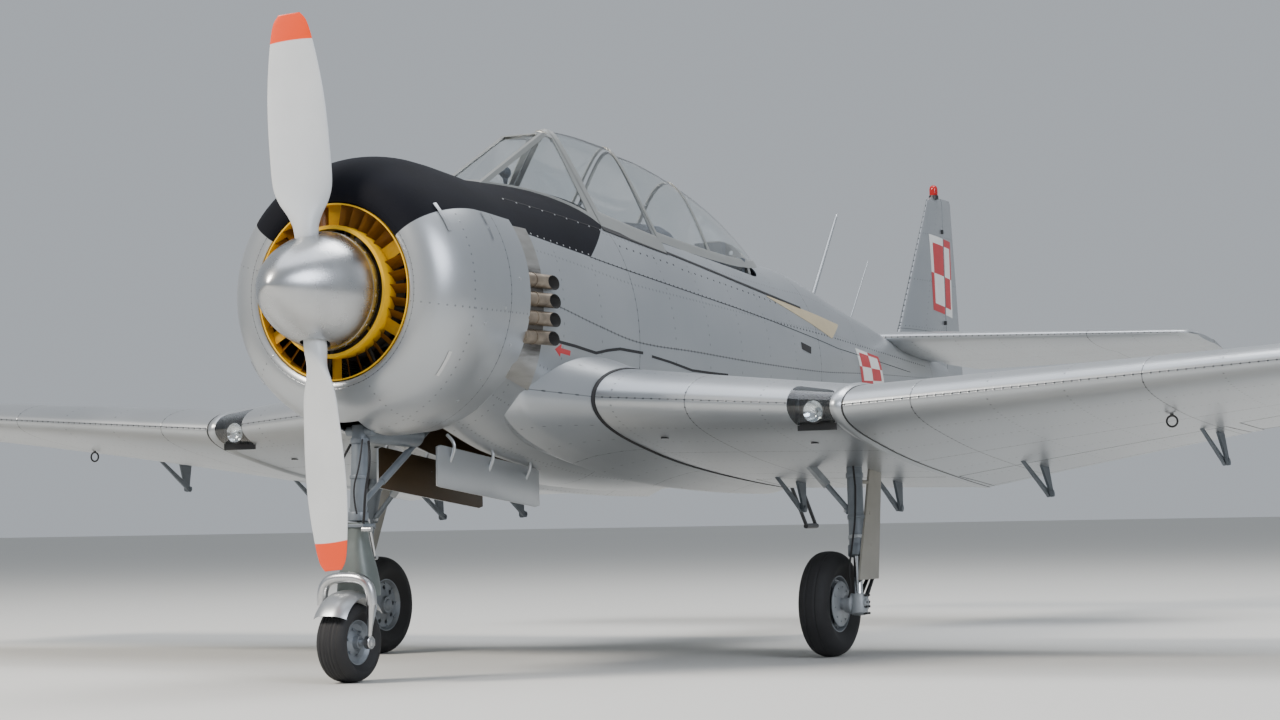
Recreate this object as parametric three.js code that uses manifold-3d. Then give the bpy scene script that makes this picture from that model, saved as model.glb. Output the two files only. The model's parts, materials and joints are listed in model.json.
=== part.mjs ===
// Piston trainer aircraft with tandem seats, a radial engine, a cranked low wing and a nose wheel.
// Millimetres. X is to port, Y runs aft, Z is up and the ground is at Z = 0.
// Stations are distances aft of the spinner's tip, and the whole group is then centred on its length.

import * as THREE from 'three';
import { mergeVertices } from 'three/addons/utils/BufferGeometryUtils.js';
import Module from 'manifold-3d';

const wasm = await Module();
wasm.setup();

// Driving dimensions of the whole aircraft
const LENGTH = 8550;
const SEMI_SPAN = 5250;
const THRUST_Z = 1765;
const SEAT_GAP = 0.3;
const RUN_GAP = 6;
const SKIN = 10;

// Engine cowl, spinner and propeller
const COWL = { front: 500, rear: 1172, lipRadius: 404, radius: 650, rearRadius: 622, wall: 9, nose: 370 };
const SPINNER = { rim: 480, skirt: 40, radius: 268, wall: 4, sides: 28 };
const SPINNER_BACK = { inner: 64, outer: 257, front: 390, rear: 396 };
const PROPELLER = { station: 337, radius: 1258, tilt: THREE.MathUtils.degToRad(4.63) };
const ENGINE = { front: 612, rear: 1090, radius: 540, noseRadius: 170 };
const VANES = { station: 540, inner: 296, outer: 398, count: 36, depth: 62 };
const FIREWALL = 1185;

// Fuselage sections: station, half width, height of the widest line, top, bottom
const FUSELAGE = [
  [1185, 590, 1765, 2372, 1150],
  [1550, 560, 1745, 2380, 1040],
  [2050, 535, 1670, 2398, 955],
  [2490, 525, 1610, 2385, 900],
  [3180, 520, 1590, 2321, 868],
  [3850, 505, 1570, 2270, 885],
  [4700, 455, 1560, 2218, 985],
  [5150, 422, 1562, 2200, 1060],
  [5890, 345, 1585, 2062, 1200],
  [6500, 275, 1600, 1958, 1310],
  [7010, 215, 1610, 1862, 1400],
  [7600, 145, 1625, 1800, 1490],
  [8130, 62, 1645, 1745, 1575],
];
const COCKPIT = { front: 2510, rear: 4600, halfWidth: 292, cornerRadius: 190, floorZ: 1440 };
const NOSE_BAY = { front: 1202, rear: 2090, halfWidth: 150, roofZ: 1340, wall: 6 };

// Wing sections: span place, leading edge station and height, chord, incidence, thickness, camber
const WING_ROOT = {
  x: 640, station: 1800, z: 1306, chord: 2290,
  incidence: 11, thickness: 0.17, camber: 0.027,
};
const WING_JOINT = {
  x: 1827, station: 2049, z: 1232, chord: 2021,
  incidence: 11, thickness: 0.14, camber: 0.027,
};
const WING_TIP = {
  x: 5130, station: 2385, z: 1455, chord: 1330,
  incidence: 4.2, thickness: 0.12, camber: 0.02,
};
const WING_END = {
  x: SEMI_SPAN, station: 2590, z: 1457, chord: 860,
  incidence: 4.2, thickness: 0.05, camber: 0.01,
};
const FILLET = [
  { x: 0, station: 1360, z: 1400, chord: 2700, incidence: 9.5, thickness: 0.165, camber: 0.02 },
  { x: 220, station: 1340, z: 1370, chord: 2930, incidence: 9.5, thickness: 0.178, camber: 0.02 },
  { x: 380, station: 1330, z: 1345, chord: 3060, incidence: 9.5, thickness: 0.19, camber: 0.02 },
  { x: 470, station: 1400, z: 1340, chord: 2900, incidence: 9.8, thickness: 0.18, camber: 0.024 },
  { x: 560, station: 1610, z: 1322, chord: 2560, incidence: 10.5, thickness: 0.172, camber: 0.026 },
  WING_ROOT,
];
const AILERON = { inner: 3350, outer: 5020, fraction: 0.76, radius: 74, reach: 600 };

// Slotted flaps turn on pins at the feet of arms: aft and below the seam in the wing's underside
const FLAP = { fraction: 0.76, aft: 230, drop: 160, radius: 280, reach: 760, sides: 36 };
const INNER_FLAP = { inner: 700, outer: 1790, arms: [860, 1410] };
const OUTER_FLAP = { inner: 1880, outer: 3300, arms: [2250, 3190] };
const HOLLOW_WALL = 6;
const LANDING_LIGHT = { inner: 1568, outer: 1772, depth: 150, wall: 5 };

// Tail surfaces
const TAIL_ROOT = { x: 60, station: 6800, z: 1868, chord: 1400, incidence: 5, thickness: 0.1, camber: 0 };
const TAIL_TIP = { x: 1960, station: 7190, z: 1834, chord: 860, incidence: 5, thickness: 0.09, camber: 0 };
const TAIL_END = { x: 2060, station: 7330, z: 1822, chord: 600, incidence: 5, thickness: 0.045, camber: 0 };
const ELEVATOR = { inner: 150, outer: 2100, station: 7745, radius: 48, reach: 700, droop: 6 };
const FIN = [
  { z: 1660, station: 7120, chord: 1430, thickness: 0.075 },
  { z: 1990, station: 7370, chord: 1127, thickness: 0.08 },
  { z: 2810, station: 7880, chord: 504, thickness: 0.09 },
  { z: 2872, station: 7990, chord: 370, thickness: 0.05 },
];
const DORSAL = { front: 6900, rear: 7480, foot: 1700, frontFoot: 1760, frontTop: 1800, topZ: 2040, halfWidth: 26 };
const RUDDER = { station: 8200, radius: 34, reach: 500, foot: 1660 };
const BEACON = { station: 8060, foot: 2872 + SEAT_GAP, radius: 30, top: 3000 };

// Canopy: station, half width at the foot, foot height, top height
const FRONT_HOOD = [
  [2496, 338, 2195, 2742],
  [2820, 352, 2165, 2742],
  [3168, 360, 2128, 2722],
];
const REAR_HOOD = [
  [3176, 324, 2120, 2700],
  [3500, 325, 2090, 2672],
  [3892, 320, 2052, 2604],
  [4300, 298, 2020, 2500],
  [4640, 262, 2000, 2372],
  [4900, 212, 1990, 2240],
];
const WINDSCREEN = { foot: 1585, footZ: 2342, top: 2270, topZ: 2688, halfPane: 122, rear: 2490 };
const GLAZING = { frame: 6, glass: 4, hoop: 34, rail: 46 };

// Landing gear
const NOSE_WHEEL = { station: 610, radius: 181, width: 152, rim: 98 };
const NOSE_LEG = { topStation: 727, topZ: 1165, footStation: 690, footZ: 640, radius: 39 };
const TOW_LUG = { face: 130, half: 15 };
const MAIN_WHEEL = { x: 1353, station: 2960, radius: 266, width: 160, rim: 138 };
const MAIN_LEG = {
  footX: 1512, footStation: 2960, rakeX: -0.098, rakeY: 0.194,
  radius: 40, pistonRadius: 21, doorHalf: 128,
};

const TAU = Math.PI * 2;
const SKIN_SIDES = 28;
const CAVITY_SIDES = 14;
const COWL_SIDES = 36;
const WHEEL_SIDES = 22;
const ROD_SIDES = 10;
const at = (x, y, z) => new THREE.Vector3(x, y, z);

// Materials

const finish = (color, roughness, metalness) => new THREE.MeshStandardMaterial({ color, roughness, metalness });
const silverPaint = () => finish('#b9bdc0', 0.42, 0.55);
const bareMetal = () => finish('#c8c6c0', 0.3, 0.9);
const legGrey = () => finish('#8b959c', 0.5, 0.3);
const rubber = () => finish('#1c1c1d', 0.85, 0);
const clearGlass = () => {
  const glass = finish('#dfe8ea', 0.08, 0);
  glass.transparent = true;
  glass.opacity = 0.3;
  return glass;
};

// Solids: geometry in, boolean work, geometry out

function solid(geometry) {
  const loose = geometry.index ? geometry.toNonIndexed() : geometry;
  const bare = new THREE.BufferGeometry().setAttribute('position', loose.getAttribute('position'));
  const merged = mergeVertices(bare, 1e-3);
  const made = new wasm.Manifold(new wasm.Mesh({
    numProp: 3,
    vertProperties: merged.attributes.position.array,
    triVerts: new Uint32Array(merged.index.array),
  }));
  return made;
}

function join(...solids) {
  return solids.reduce((sum, one) => sum.add(one));
}

function cut(body, ...tools) {
  return tools.reduce((rest, tool) => rest.subtract(tool), body);
}

function geometryOf(body) {
  const mesh = body.getMesh();
  const geometry = new THREE.BufferGeometry();
  const corners = new Float32Array(mesh.numVert * 3);
  for (let i = 0; i < mesh.numVert; i += 1) {
    for (let axis = 0; axis < 3; axis += 1) corners[i * 3 + axis] = mesh.vertProperties[i * mesh.numProp + axis];
  }
  geometry.setAttribute('position', new THREE.BufferAttribute(corners, 3));
  geometry.setIndex([...mesh.triVerts]);
  return geometry;
}

const aircraft = new THREE.Group();
aircraft.position.y = -LENGTH / 2;

function addPiece(name, body, material) {
  const mesh = new THREE.Mesh(geometryOf(body), material);
  mesh.name = name;
  aircraft.add(mesh);
  return mesh;
}

// A skin through rings of points that share one count. Each quad is split along its shorter diagonal,
// so that a mirrored body has mirrored faces. The ends are fans, or strips where the rings are channels.
function loft(rings, channel = false) {
  const count = rings[0].length;
  const corners = rings.flat();
  const faces = [];
  for (let ring = 0; ring < rings.length - 1; ring += 1) {
    for (let i = 0; i < count; i += 1) {
      const a = ring * count + i;
      const b = ring * count + ((i + 1) % count);
      const [c, d] = [b + count, a + count];
      const level = corners[a].distanceTo(corners[c]) - corners[b].distanceTo(corners[d]);
      faces.push(...(level < 1e-6 ? [a, b, c, a, c, d] : [a, b, d, b, c, d]));
    }
  }
  const last = (rings.length - 1) * count;
  if (channel) {
    for (let i = 0; i < count / 2 - 1; i += 1) {
      const [a, b, c, d] = [i, i + 1, count - 2 - i, count - 1 - i];
      faces.push(a, c, b, a, d, c, last + a, last + b, last + c, last + a, last + c, last + d);
    }
  } else {
    for (const first of [0, last]) {
      const middle = corners.length;
      const total = corners.slice(first, first + count).reduce((sum, p) => sum.add(p), at(0, 0, 0));
      corners.push(total.divideScalar(count));
      for (let i = 0; i < count; i += 1) {
        const [a, b] = [first + i, first + ((i + 1) % count)];
        faces.push(...(first === 0 ? [middle, b, a] : [middle, a, b]));
      }
    }
  }
  const volume = faces.reduce((sum, _, i) => (i % 3 ? sum : sum
    + corners[faces[i]].dot(corners[faces[i + 1]].clone().cross(corners[faces[i + 2]]))), 0);
  if (volume < 0) faces.reverse();
  return solid(new THREE.BufferGeometry().setFromPoints(corners).setIndex(faces));
}

function block(low, high) {
  const size = high.clone().sub(low);
  const middle = high.clone().add(low).multiplyScalar(0.5);
  return solid(new THREE.BoxGeometry(size.x, size.y, size.z).translate(middle.x, middle.y, middle.z));
}

// Turns geometry made along +Y so that it runs from one point to another.
function alongLine(geometry, from, to) {
  const way = to.clone().sub(from);
  const turn = new THREE.Quaternion().setFromUnitVectors(at(0, 1, 0), way.clone().normalize());
  const middle = from.clone().add(to).multiplyScalar(0.5);
  return solid(geometry.applyMatrix4(new THREE.Matrix4().compose(middle, turn, at(1, 1, 1))));
}

function rod(from, to, radius, sides = ROD_SIDES, endRadius = radius) {
  return alongLine(new THREE.CylinderGeometry(endRadius, radius, from.distanceTo(to), sides), from, to);
}

// A bar of rectangular section: width lies along X where the bar's way allows it.
function bar(from, to, width, depth) {
  const way = to.clone().sub(from);
  const aft = way.clone().normalize();
  const side = at(1, 0, 0).addScaledVector(aft, -aft.x).normalize();
  const up = side.clone().cross(aft);
  const place = new THREE.Matrix4().makeBasis(side, aft, up);
  place.setPosition(from.clone().add(to).multiplyScalar(0.5));
  return solid(new THREE.BoxGeometry(width, way.length(), depth).applyMatrix4(place));
}

function ball(centre, radius, sides = 16) {
  return solid(new THREE.SphereGeometry(radius, sides, sides / 2).translate(centre.x, centre.y, centre.z));
}

// A closed profile of [radius, station] pairs turned about a line through the point that runs along Y.
function turnedAft(profile, centre, sides) {
  const points = profile.map(([radius, station]) => new THREE.Vector2(radius, station));
  const geometry = new THREE.LatheGeometry(points, sides);
  return solid(geometry.translate(centre.x, centre.y, centre.z));
}

// The same about a line that runs along X: pairs are [radius, distance to port].
function turnedAcross(profile, centre, sides) {
  const points = profile.map(([radius, distance]) => new THREE.Vector2(radius, distance));
  const geometry = new THREE.LatheGeometry(points, sides).rotateZ(-Math.PI / 2);
  return solid(geometry.translate(centre.x, centre.y, centre.z));
}

function tubeAlong(points, radius, sides = 10, steps = 16) {
  const circle = new THREE.Shape();
  for (let i = 0; i < sides; i += 1) {
    const angle = (i / sides) * TAU;
    circle[i ? 'lineTo' : 'moveTo'](radius * Math.cos(angle), radius * Math.sin(angle));
  }
  const path = new THREE.CatmullRomCurve3(points);
  return solid(new THREE.ExtrudeGeometry(circle, { steps, bevelEnabled: false, extrudePath: path }));
}

const mirrored = (body) => body.mirror([1, 0, 0]);

// Rings for the fuselage, wing and canopy

// The table's rows give way to a smooth curve through each column.
function rowAt(table, station) {
  let i = 0;
  while (i < table.length - 2 && station > table[i + 1][0]) i += 1;
  const row = (k) => table[Math.min(Math.max(k, 0), table.length - 1)];
  const [before, from, to, after] = [row(i - 1), row(i), row(i + 1), row(i + 2)];
  const t = Math.min(Math.max((station - from[0]) / (to[0] - from[0]), 0), 1);
  return from.map((value, column) => {
    if (column === 0) return station;
    const slope = (a, b) => (b[0] === a[0] ? 0 : (b[column] - a[column]) / (b[0] - a[0]));
    const run = to[0] - from[0];
    const m0 = slope(before, to) * run;
    const m1 = slope(from, after) * run;
    const t2 = t * t;
    const t3 = t2 * t;
    const ends = (2 * t3 - 3 * t2 + 1) * value + (3 * t2 - 2 * t3) * to[column];
    return ends + (t3 - 2 * t2 + t) * m0 + (t3 - t2) * m1;
  });
}

// Stations of the skin's rings: each step of the table is halved ahead of the straight tail cone
const TAIL_CONE = 5890;
const GRID = FUSELAGE.flatMap(([station], i) => (
  i && station <= TAIL_CONE ? [(FUSELAGE[i - 1][0] + station) / 2, station] : [station]));

function gridRing(station, grow, count) {
  const [, halfWidth, beltZ, topZ, bottomZ] = rowAt(FUSELAGE, station);
  const points = [];
  for (let i = 0; i < count; i += 1) {
    const angle = (i / count) * TAU;
    const [c, s] = [Math.cos(angle), Math.sin(angle)];
    const rise = s >= 0 ? topZ - beltZ : beltZ - bottomZ;
    const power = s >= 0 ? 1 : 0.88;
    const x = (halfWidth + grow) * Math.sign(c) * Math.abs(c) ** power;
    const z = beltZ + (rise + grow) * Math.sign(s) * Math.abs(s) ** power;
    points.push(at(x, station, z));
  }
  return points;
}

// A ring between two of the grid's lies on the flat faces between them.
function fuselageRing(station, grow, count) {
  const k = Math.min(Math.max(GRID.findIndex((place) => place >= station), 1), GRID.length - 1);
  const [from, to] = [gridRing(GRID[k - 1], grow, count), gridRing(GRID[k], grow, count)];
  return from.map((point, i) => point.lerp(to[i], (station - GRID[k - 1]) / (GRID[k] - GRID[k - 1])));
}

function fuselageBody(from, to, grow) {
  const inner = GRID.filter((station) => station > from + 1 && station < to - 1);
  return loft([from, ...inner, to].map((station) => fuselageRing(station, grow, SKIN_SIDES)));
}

// The space inside has rings at the table's own stations only.
function cavityBody(from, to, shrink) {
  const inner = FUSELAGE.map(([station]) => station).filter((station) => station > 1185 && station < 7100);
  return loft([from, ...inner, to].map((station) => fuselageRing(station, -shrink, CAVITY_SIDES)));
}

// An aerofoil's outline in parts of its chord, from the trailing edge over the top and back below
function aerofoil(thickness, camber, side = 9) {
  const peak = 0.3;
  const half = (t) => 5 * thickness * (0.2969 * Math.sqrt(t) - 0.126 * t - 0.3516 * t ** 2
    + 0.2843 * t ** 3 - 0.1015 * t ** 4);
  const mean = (t) => (t < peak
    ? (camber / peak ** 2) * (2 * peak * t - t ** 2)
    : (camber / (1 - peak) ** 2) * (1 - 2 * peak + 2 * peak * t - t ** 2));
  const points = [];
  for (let i = 0; i <= 2 * side; i += 1) {
    const t = (1 + Math.cos((Math.PI * i) / side)) / 2;
    points.push([t, mean(t) + (i <= side ? half(t) : -half(t))]);
  }
  return points;
}

function wingRing(section, shrink = 0) {
  const tilt = THREE.MathUtils.degToRad(section.incidence);
  const thickness = section.thickness - (2 * shrink) / section.chord;
  const chord = section.chord - 2 * shrink;
  return aerofoil(thickness, section.camber).map(([along, up]) => at(
    section.x,
    section.station + shrink + chord * (along * Math.cos(tilt) + up * Math.sin(tilt)),
    section.z + chord * (-along * Math.sin(tilt) + up * Math.cos(tilt)),
  ));
}

// The section at a span place between two others
function between(a, b, x) {
  const t = (x - a.x) / (b.x - a.x);
  return Object.fromEntries(Object.keys(a).map((key) => [key, a[key] + (b[key] - a[key]) * t]));
}

// The point in a section at a part of its chord, at the middle of its thickness
function chordPoint(section, part) {
  const tilt = THREE.MathUtils.degToRad(section.incidence);
  const outline = aerofoil(section.thickness, section.camber, 40);
  const near = outline.filter(([t]) => Math.abs(t - part) < 0.03);
  const up = near.reduce((sum, [, z]) => sum + z, 0) / near.length;
  return at(
    section.x,
    section.station + section.chord * (part * Math.cos(tilt) + up * Math.sin(tilt)),
    section.z + section.chord * (-part * Math.sin(tilt) + up * Math.cos(tilt)),
  );
}

// Splits a surface at a hinge line: the moving part has a round nose about the hinge, the fixed part a cove.
function splitAtHinge(body, from, to, radius, reach, sides = 16) {
  const way = to.clone().sub(from).normalize();
  const aft = at(0, 1, 0).addScaledVector(way, -way.y).normalize();
  const up = way.clone().cross(aft);
  const tool = (extra, ends) => {
    const [a, b] = [from.clone().addScaledVector(way, -ends), to.clone().addScaledVector(way, ends)];
    const place = new THREE.Matrix4().makeBasis(way, aft, up);
    place.setPosition(a.clone().add(b).multiplyScalar(0.5).addScaledVector(aft, reach / 2));
    const slab = solid(new THREE.BoxGeometry(a.distanceTo(b), reach, reach).applyMatrix4(place));
    return join(slab, rod(a, b, radius + extra, sides));
  };
  return { moving: body.intersect(tool(0, 0)), fixed: cut(body, tool(RUN_GAP, RUN_GAP)) };
}

// An arch from one foot over the top to the other, closed along its foot
function archRing(row, grow, side = 8) {
  const [station, halfWidth, footZ, topZ] = row;
  const points = [];
  for (let i = 0; i <= 2 * side; i += 1) {
    const angle = (Math.PI * i) / (2 * side);
    const [c, s] = [Math.cos(angle), Math.sin(angle)];
    const x = (halfWidth + grow) * Math.sign(c) * Math.abs(c) ** 0.87;
    points.push(at(x, station, footZ + (topZ - footZ + grow) * s ** 0.87));
  }
  return points;
}

// The arches of one hood's table joined into a body. A cutting body runs on past both ends.
function hoodBody(table, grow, steps, past = 0) {
  const [from, to] = [table[0][0], table[table.length - 1][0]];
  const rings = [];
  for (let i = 0; i <= steps; i += 1) {
    const [station, halfWidth, footZ, topZ] = rowAt(table, from + ((to - from) * i) / steps);
    rings.push(archRing([station, halfWidth, footZ - 120, topZ], grow));
  }
  if (past) {
    rings.unshift(rings[0].map((point) => point.clone().setY(from - past)));
    rings.push(rings[steps + 1].map((point) => point.clone().setY(to + past)));
  }
  return loft(rings);
}

// Cowl: a turned shell with a round lip, a slot below for the nose leg

function cowlProfile() {
  const { front, rear, lipRadius, radius, rearRadius, wall, nose } = COWL;
  const outer = [[lipRadius + 32, front]];
  const steps = 5;
  for (let i = 1; i <= steps; i += 1) {
    const angle = (Math.PI / 2) * (i / steps);
    const start = lipRadius + 34;
    outer.push([start + (radius - start) * Math.sin(angle) ** 0.9, front + nose * (1 - Math.cos(angle))]);
  }
  const inner = outer.slice(2).filter((_, i) => i !== 2).reverse().map(([r, station]) => [r - wall - 3, station + 5]);
  return [
    [lipRadius, front + 34],
    [lipRadius + 9, front + 10],
    ...outer,
    [rearRadius, rear],
    [rearRadius - wall, rear],
    ...inner,
    [lipRadius + 14, inner[inner.length - 1][1]],
    [lipRadius, front + 34],
  ];
}

const cowlShell = turnedAft(cowlProfile(), at(0, 0, THRUST_Z), COWL_SIDES);
const legSlot = block(at(-72, 600, 1000), at(72, COWL.rear + 10, 1300));
addPiece('cowl', cut(cowlShell, legSlot), silverPaint());

// Engine: crankcase nose and cylinder drum in one plain block, on bearers from the firewall
const engineDrum = turnedAft([
  [0, 412], [72, 412], [72, 470], [ENGINE.noseRadius, 520], [ENGINE.noseRadius, ENGINE.front],
  [ENGINE.radius, ENGINE.front], [ENGINE.radius, ENGINE.rear], [330, ENGINE.rear + 60],
  [330, FIREWALL - SEAT_GAP], [0, FIREWALL - SEAT_GAP],
], at(0, 0, THRUST_Z), 16);
addPiece('engine_block', engineDrum, finish('#3b3d3f', 0.6, 0.6));

// Cooling air ring: an inner hoop, an outer hoop and the vanes that join them
function hoop(inner, outer, from, to, sides) {
  return turnedAft([[inner, from], [outer, from], [outer, to], [inner, to], [inner, from]], at(0, 0, THRUST_Z), sides);
}
const vaneFrom = VANES.station - VANES.depth / 2;
const vaneTo = VANES.station + VANES.depth / 2;
let vaneRing = join(
  hoop(VANES.inner - 14, VANES.inner + 4, vaneFrom - 30, vaneTo, VANES.count),
  hoop(VANES.outer - 1, COWL.lipRadius - SEAT_GAP, vaneFrom + 4, vaneTo, COWL_SIDES),
);
for (let i = 0; i < VANES.count; i += 1) {
  const reach = VANES.outer - VANES.inner + 1;
  const vane = new THREE.BoxGeometry(reach, VANES.depth * 0.9, 3)
    .rotateX(THREE.MathUtils.degToRad(38))
    .translate((VANES.outer + VANES.inner) / 2, 0, 0)
    .rotateY(((i + 0.5) / VANES.count) * TAU)
    .translate(0, VANES.station, THRUST_Z);
  vaneRing = vaneRing.add(solid(vane));
}
const vaneSpokes = [0, 1, 2].map((i) => {
  const angle = TAU * (i / 3 + 0.25);
  const out = at(Math.cos(angle), 0, Math.sin(angle));
  const start = at(0, vaneTo - 6, THRUST_Z).addScaledVector(out, ENGINE.noseRadius + SEAT_GAP);
  return rod(start, at(0, vaneTo - 6, THRUST_Z).addScaledVector(out, VANES.inner - 8), 6, 6);
});
addPiece('cooling_vanes', join(vaneRing, ...vaneSpokes), finish('#c8951e', 0.5, 0.25));

// Spinner and propeller: a thin turned shell over the hub, blades through its sides

function spinnerProfile(inset, steps) {
  const { rim, skirt, radius } = SPINNER;
  const points = [[0, inset]];
  for (let i = 1; i <= steps; i += 1) {
    const along = (i / steps) ** 1.5;
    points.push([
      (radius - inset) * (1 - (1 - along) ** 1.6) ** 0.65,
      inset + (rim - skirt - inset) * along,
    ]);
  }
  points.push([radius - inset, rim]);
  return points;
}
const spinnerShell = turnedAft([
  ...spinnerProfile(0, 6),
  ...spinnerProfile(SPINNER.wall, 4).filter((_, i) => i !== 1).reverse(),
], at(0, 0, THRUST_Z), SPINNER.sides);
const { inner: backInner, outer: backOuter, front: backFront, rear: backRear } = SPINNER_BACK;
const spinnerBack = hoop(backInner, backOuter, backFront, backRear, SPINNER.sides);

// Blade sections: distance from the hub, chord, thickness, pitch in degrees
const BLADE = [
  [0, 96, 96, 50],
  [250, 108, 84, 48],
  [330, 170, 58, 44],
  [480, 250, 38, 38],
  [700, 272, 27, 30],
  [950, 240, 19, 24],
  [1130, 196, 13, 21],
  [1222, 150, 9, 20],
  [PROPELLER.radius, 96, 6, 20],
];
function bladeRing([distance, chord, thickness, pitch], count = 12) {
  const turn = THREE.MathUtils.degToRad(pitch);
  const points = [];
  for (let i = 0; i < count; i += 1) {
    const angle = (i / count) * TAU;
    const along = (chord / 2) * Math.cos(angle);
    const through = (thickness / 2) * Math.sin(angle);
    points.push(at(
      along * Math.cos(turn) + through * Math.sin(turn),
      along * Math.sin(turn) - through * Math.cos(turn),
      distance,
    ));
  }
  return points;
}
function atHub(body) {
  const tilted = body.rotate([0, THREE.MathUtils.radToDeg(-PROPELLER.tilt), 0]);
  return tilted.translate([0, PROPELLER.station, THRUST_Z]);
}
const oneBlade = loft(BLADE.map((row) => bladeRing(row)));
const bladePair = atHub(join(oneBlade, oneBlade.rotate([0, 180, 0])));
const bladeHoles = atHub(rod(at(0, 0, -300), at(0, 0, 300), 92, 16));
const shaft = rod(at(0, 300, THRUST_Z), at(0, 412 - SEAT_GAP, THRUST_Z), 58, 16);
const hub = rod(at(0, 262, THRUST_Z), at(0, 395.5, THRUST_Z), 84, 16);
const hubHole = rod(at(0, 380, THRUST_Z), at(0, 420, THRUST_Z), 84.5, 16);
addPiece('spinner', cut(join(spinnerShell, spinnerBack), bladeHoles, hubHole), finish('#d2d2cf', 0.16, 1));
addPiece('propeller', join(bladePair, shaft, hub), finish('#d9dde0', 0.4, 0.1));

// Fuselage: hollow shell, wing root fillets, cockpit opening and nose gear bay

const outerShell = fuselageBody(FIREWALL, 8130, 0);
const cavity = cavityBody(FIREWALL + SKIN, 7350, SKIN);
function openingBody(grow) {
  const halfWidth = COCKPIT.halfWidth + grow;
  const length = COCKPIT.rear - COCKPIT.front + 2 * grow;
  const radius = COCKPIT.cornerRadius + grow;
  const shape = new THREE.Shape();
  shape.moveTo(-halfWidth, 0);
  shape.lineTo(halfWidth, 0);
  shape.lineTo(halfWidth, length - radius);
  shape.absellipse(halfWidth - radius, length - radius, radius, radius, 0, Math.PI / 2);
  shape.absellipse(radius - halfWidth, length - radius, radius, radius, Math.PI / 2, Math.PI);
  const geometry = new THREE.ExtrudeGeometry(shape, { depth: 700, bevelEnabled: false, curveSegments: 6 });
  return solid(geometry.translate(0, COCKPIT.front - grow, 1900));
}
const insideOpening = openingBody(-SEAT_GAP);
const bay = NOSE_BAY;
const bayHole = block(at(-bay.halfWidth, bay.front, 700), at(bay.halfWidth, bay.rear, bay.roofZ));

// Aerials on the spine: a raked mast and a thin whip
const mast = rod(at(0, 5882, 2045), at(0, 6318, 2622), 11, 8, 7);
const whip = rod(at(0, 6490, 1945), at(0, 6837, 2376), 5, 8, 3);
const whipFoot = rod(at(0, 6480, 1940), at(0, 6502, 1975), 14);
const rudderLug = block(at(-12, 8100, 1636), at(12, RUDDER.station + 15, RUDDER.foot - RUN_GAP));
const shellWithAerials = join(outerShell, mast, whip, whipFoot, rudderLug);
addPiece('fuselage', cut(shellWithAerials, cavity, openingBody(0), bayHole), silverPaint());

const fillet = cut(loft(FILLET.map((section) => wingRing(section))), fuselageBody(FIREWALL - 1, 8130, SEAT_GAP));
addPiece('wing_fillet_port', fillet, silverPaint());
addPiece('wing_fillet_starboard', mirrored(fillet), silverPaint());

const bayOuter = block(
  at(-bay.halfWidth + SEAT_GAP, bay.front + SEAT_GAP, 930),
  at(bay.halfWidth - SEAT_GAP, bay.rear - SEAT_GAP, bay.roofZ - SEAT_GAP),
);
const bayInner = block(
  at(-bay.halfWidth + bay.wall, bay.front + bay.wall, 700),
  at(bay.halfWidth - bay.wall, bay.rear - bay.wall, bay.roofZ - bay.wall),
);
const bellyLimit = fuselageBody(FIREWALL - 1, 2300, -1);
addPiece('nose_bay', cut(bayOuter, bayInner).intersect(bellyLimit), finish('#8d7a2c', 0.7, 0.1));

// Heat shields with four exhaust stubs a side, one above the other behind the cowl
const STUB = { heights: [1841, 1752, 1664, 1575], front: 1400, rear: 1668, radius: 33, wall: 3.5 };
function exhaustStack() {
  const reach = (z) => {
    const [, halfWidth, beltZ, topZ] = rowAt(FUSELAGE, STUB.rear - 60);
    return halfWidth * Math.sqrt(1 - (Math.abs(z - beltZ) / (topZ - beltZ)) ** 2);
  };
  const band = cut(fuselageBody(1190, 1430, 7), fuselageBody(1180, 1440, SEAT_GAP));
  const parts = [band.intersect(block(at(300, 1195, 1400), at(800, 1430, 2080)))];
  for (const z of STUB.heights) {
    const x = reach(z) + STUB.radius + 8;
    const pipe = rod(at(x - 30, STUB.front, z), at(x + 8, STUB.rear, z), STUB.radius, 8);
    const bore = rod(at(x - 18, STUB.front + 100, z), at(x + 14, STUB.rear + 30, z), STUB.radius - STUB.wall, 8);
    const scarf = block(at(-140, 0, -60), at(140, 150, 60))
      .rotate([0, 0, 40])
      .translate([x, STUB.rear - 20, z]);
    const foot = block(at(x - 70, STUB.front + 8, z - 12), at(x - 12, STUB.front + 60, z + 12));
    parts.push(cut(pipe, bore, scarf), foot);
  }
  return cut(join(...parts), fuselageBody(1100, 1900, SEAT_GAP));
}
const portStack = exhaustStack();
addPiece('exhaust_port', portStack, finish('#8f7f6a', 0.55, 0.8));
addPiece('exhaust_starboard', mirrored(portStack), finish('#8f7f6a', 0.55, 0.8));

// Cockpit: floor with consoles and sticks, two seats, two coamings with panels, rear arch

const floorFrom = 2000;
const floorTo = 4640;
const floorPlate = block(at(-420, floorFrom, COCKPIT.floorZ - 12), at(420, floorTo, COCKPIT.floorZ));
const rearWall = block(at(-600, floorTo - 10, 900), at(600, floorTo, 2400));
const consoles = [-1, 1].map((side) => {
  const [a, b] = [side * 330, side * 600].sort((p, q) => p - q);
  const [c, d] = [side * 330, side * 350].sort((p, q) => p - q);
  const shelf = block(at(a, 2450, COCKPIT.floorZ + 260), at(b, 4200, COCKPIT.floorZ + 330));
  return join(shelf, block(at(c, 2450, COCKPIT.floorZ - 6), at(d, 4200, COCKPIT.floorZ + 262)));
});
const sticks = [2640, 3790].flatMap((station) => [
  rod(at(0, station, COCKPIT.floorZ - 5), at(0, station + 30, COCKPIT.floorZ + 420), 12, 8),
  rod(at(0, station + 30, COCKPIT.floorZ + 410), at(0, station + 40, COCKPIT.floorZ + 520), 19, 8),
]);
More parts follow.
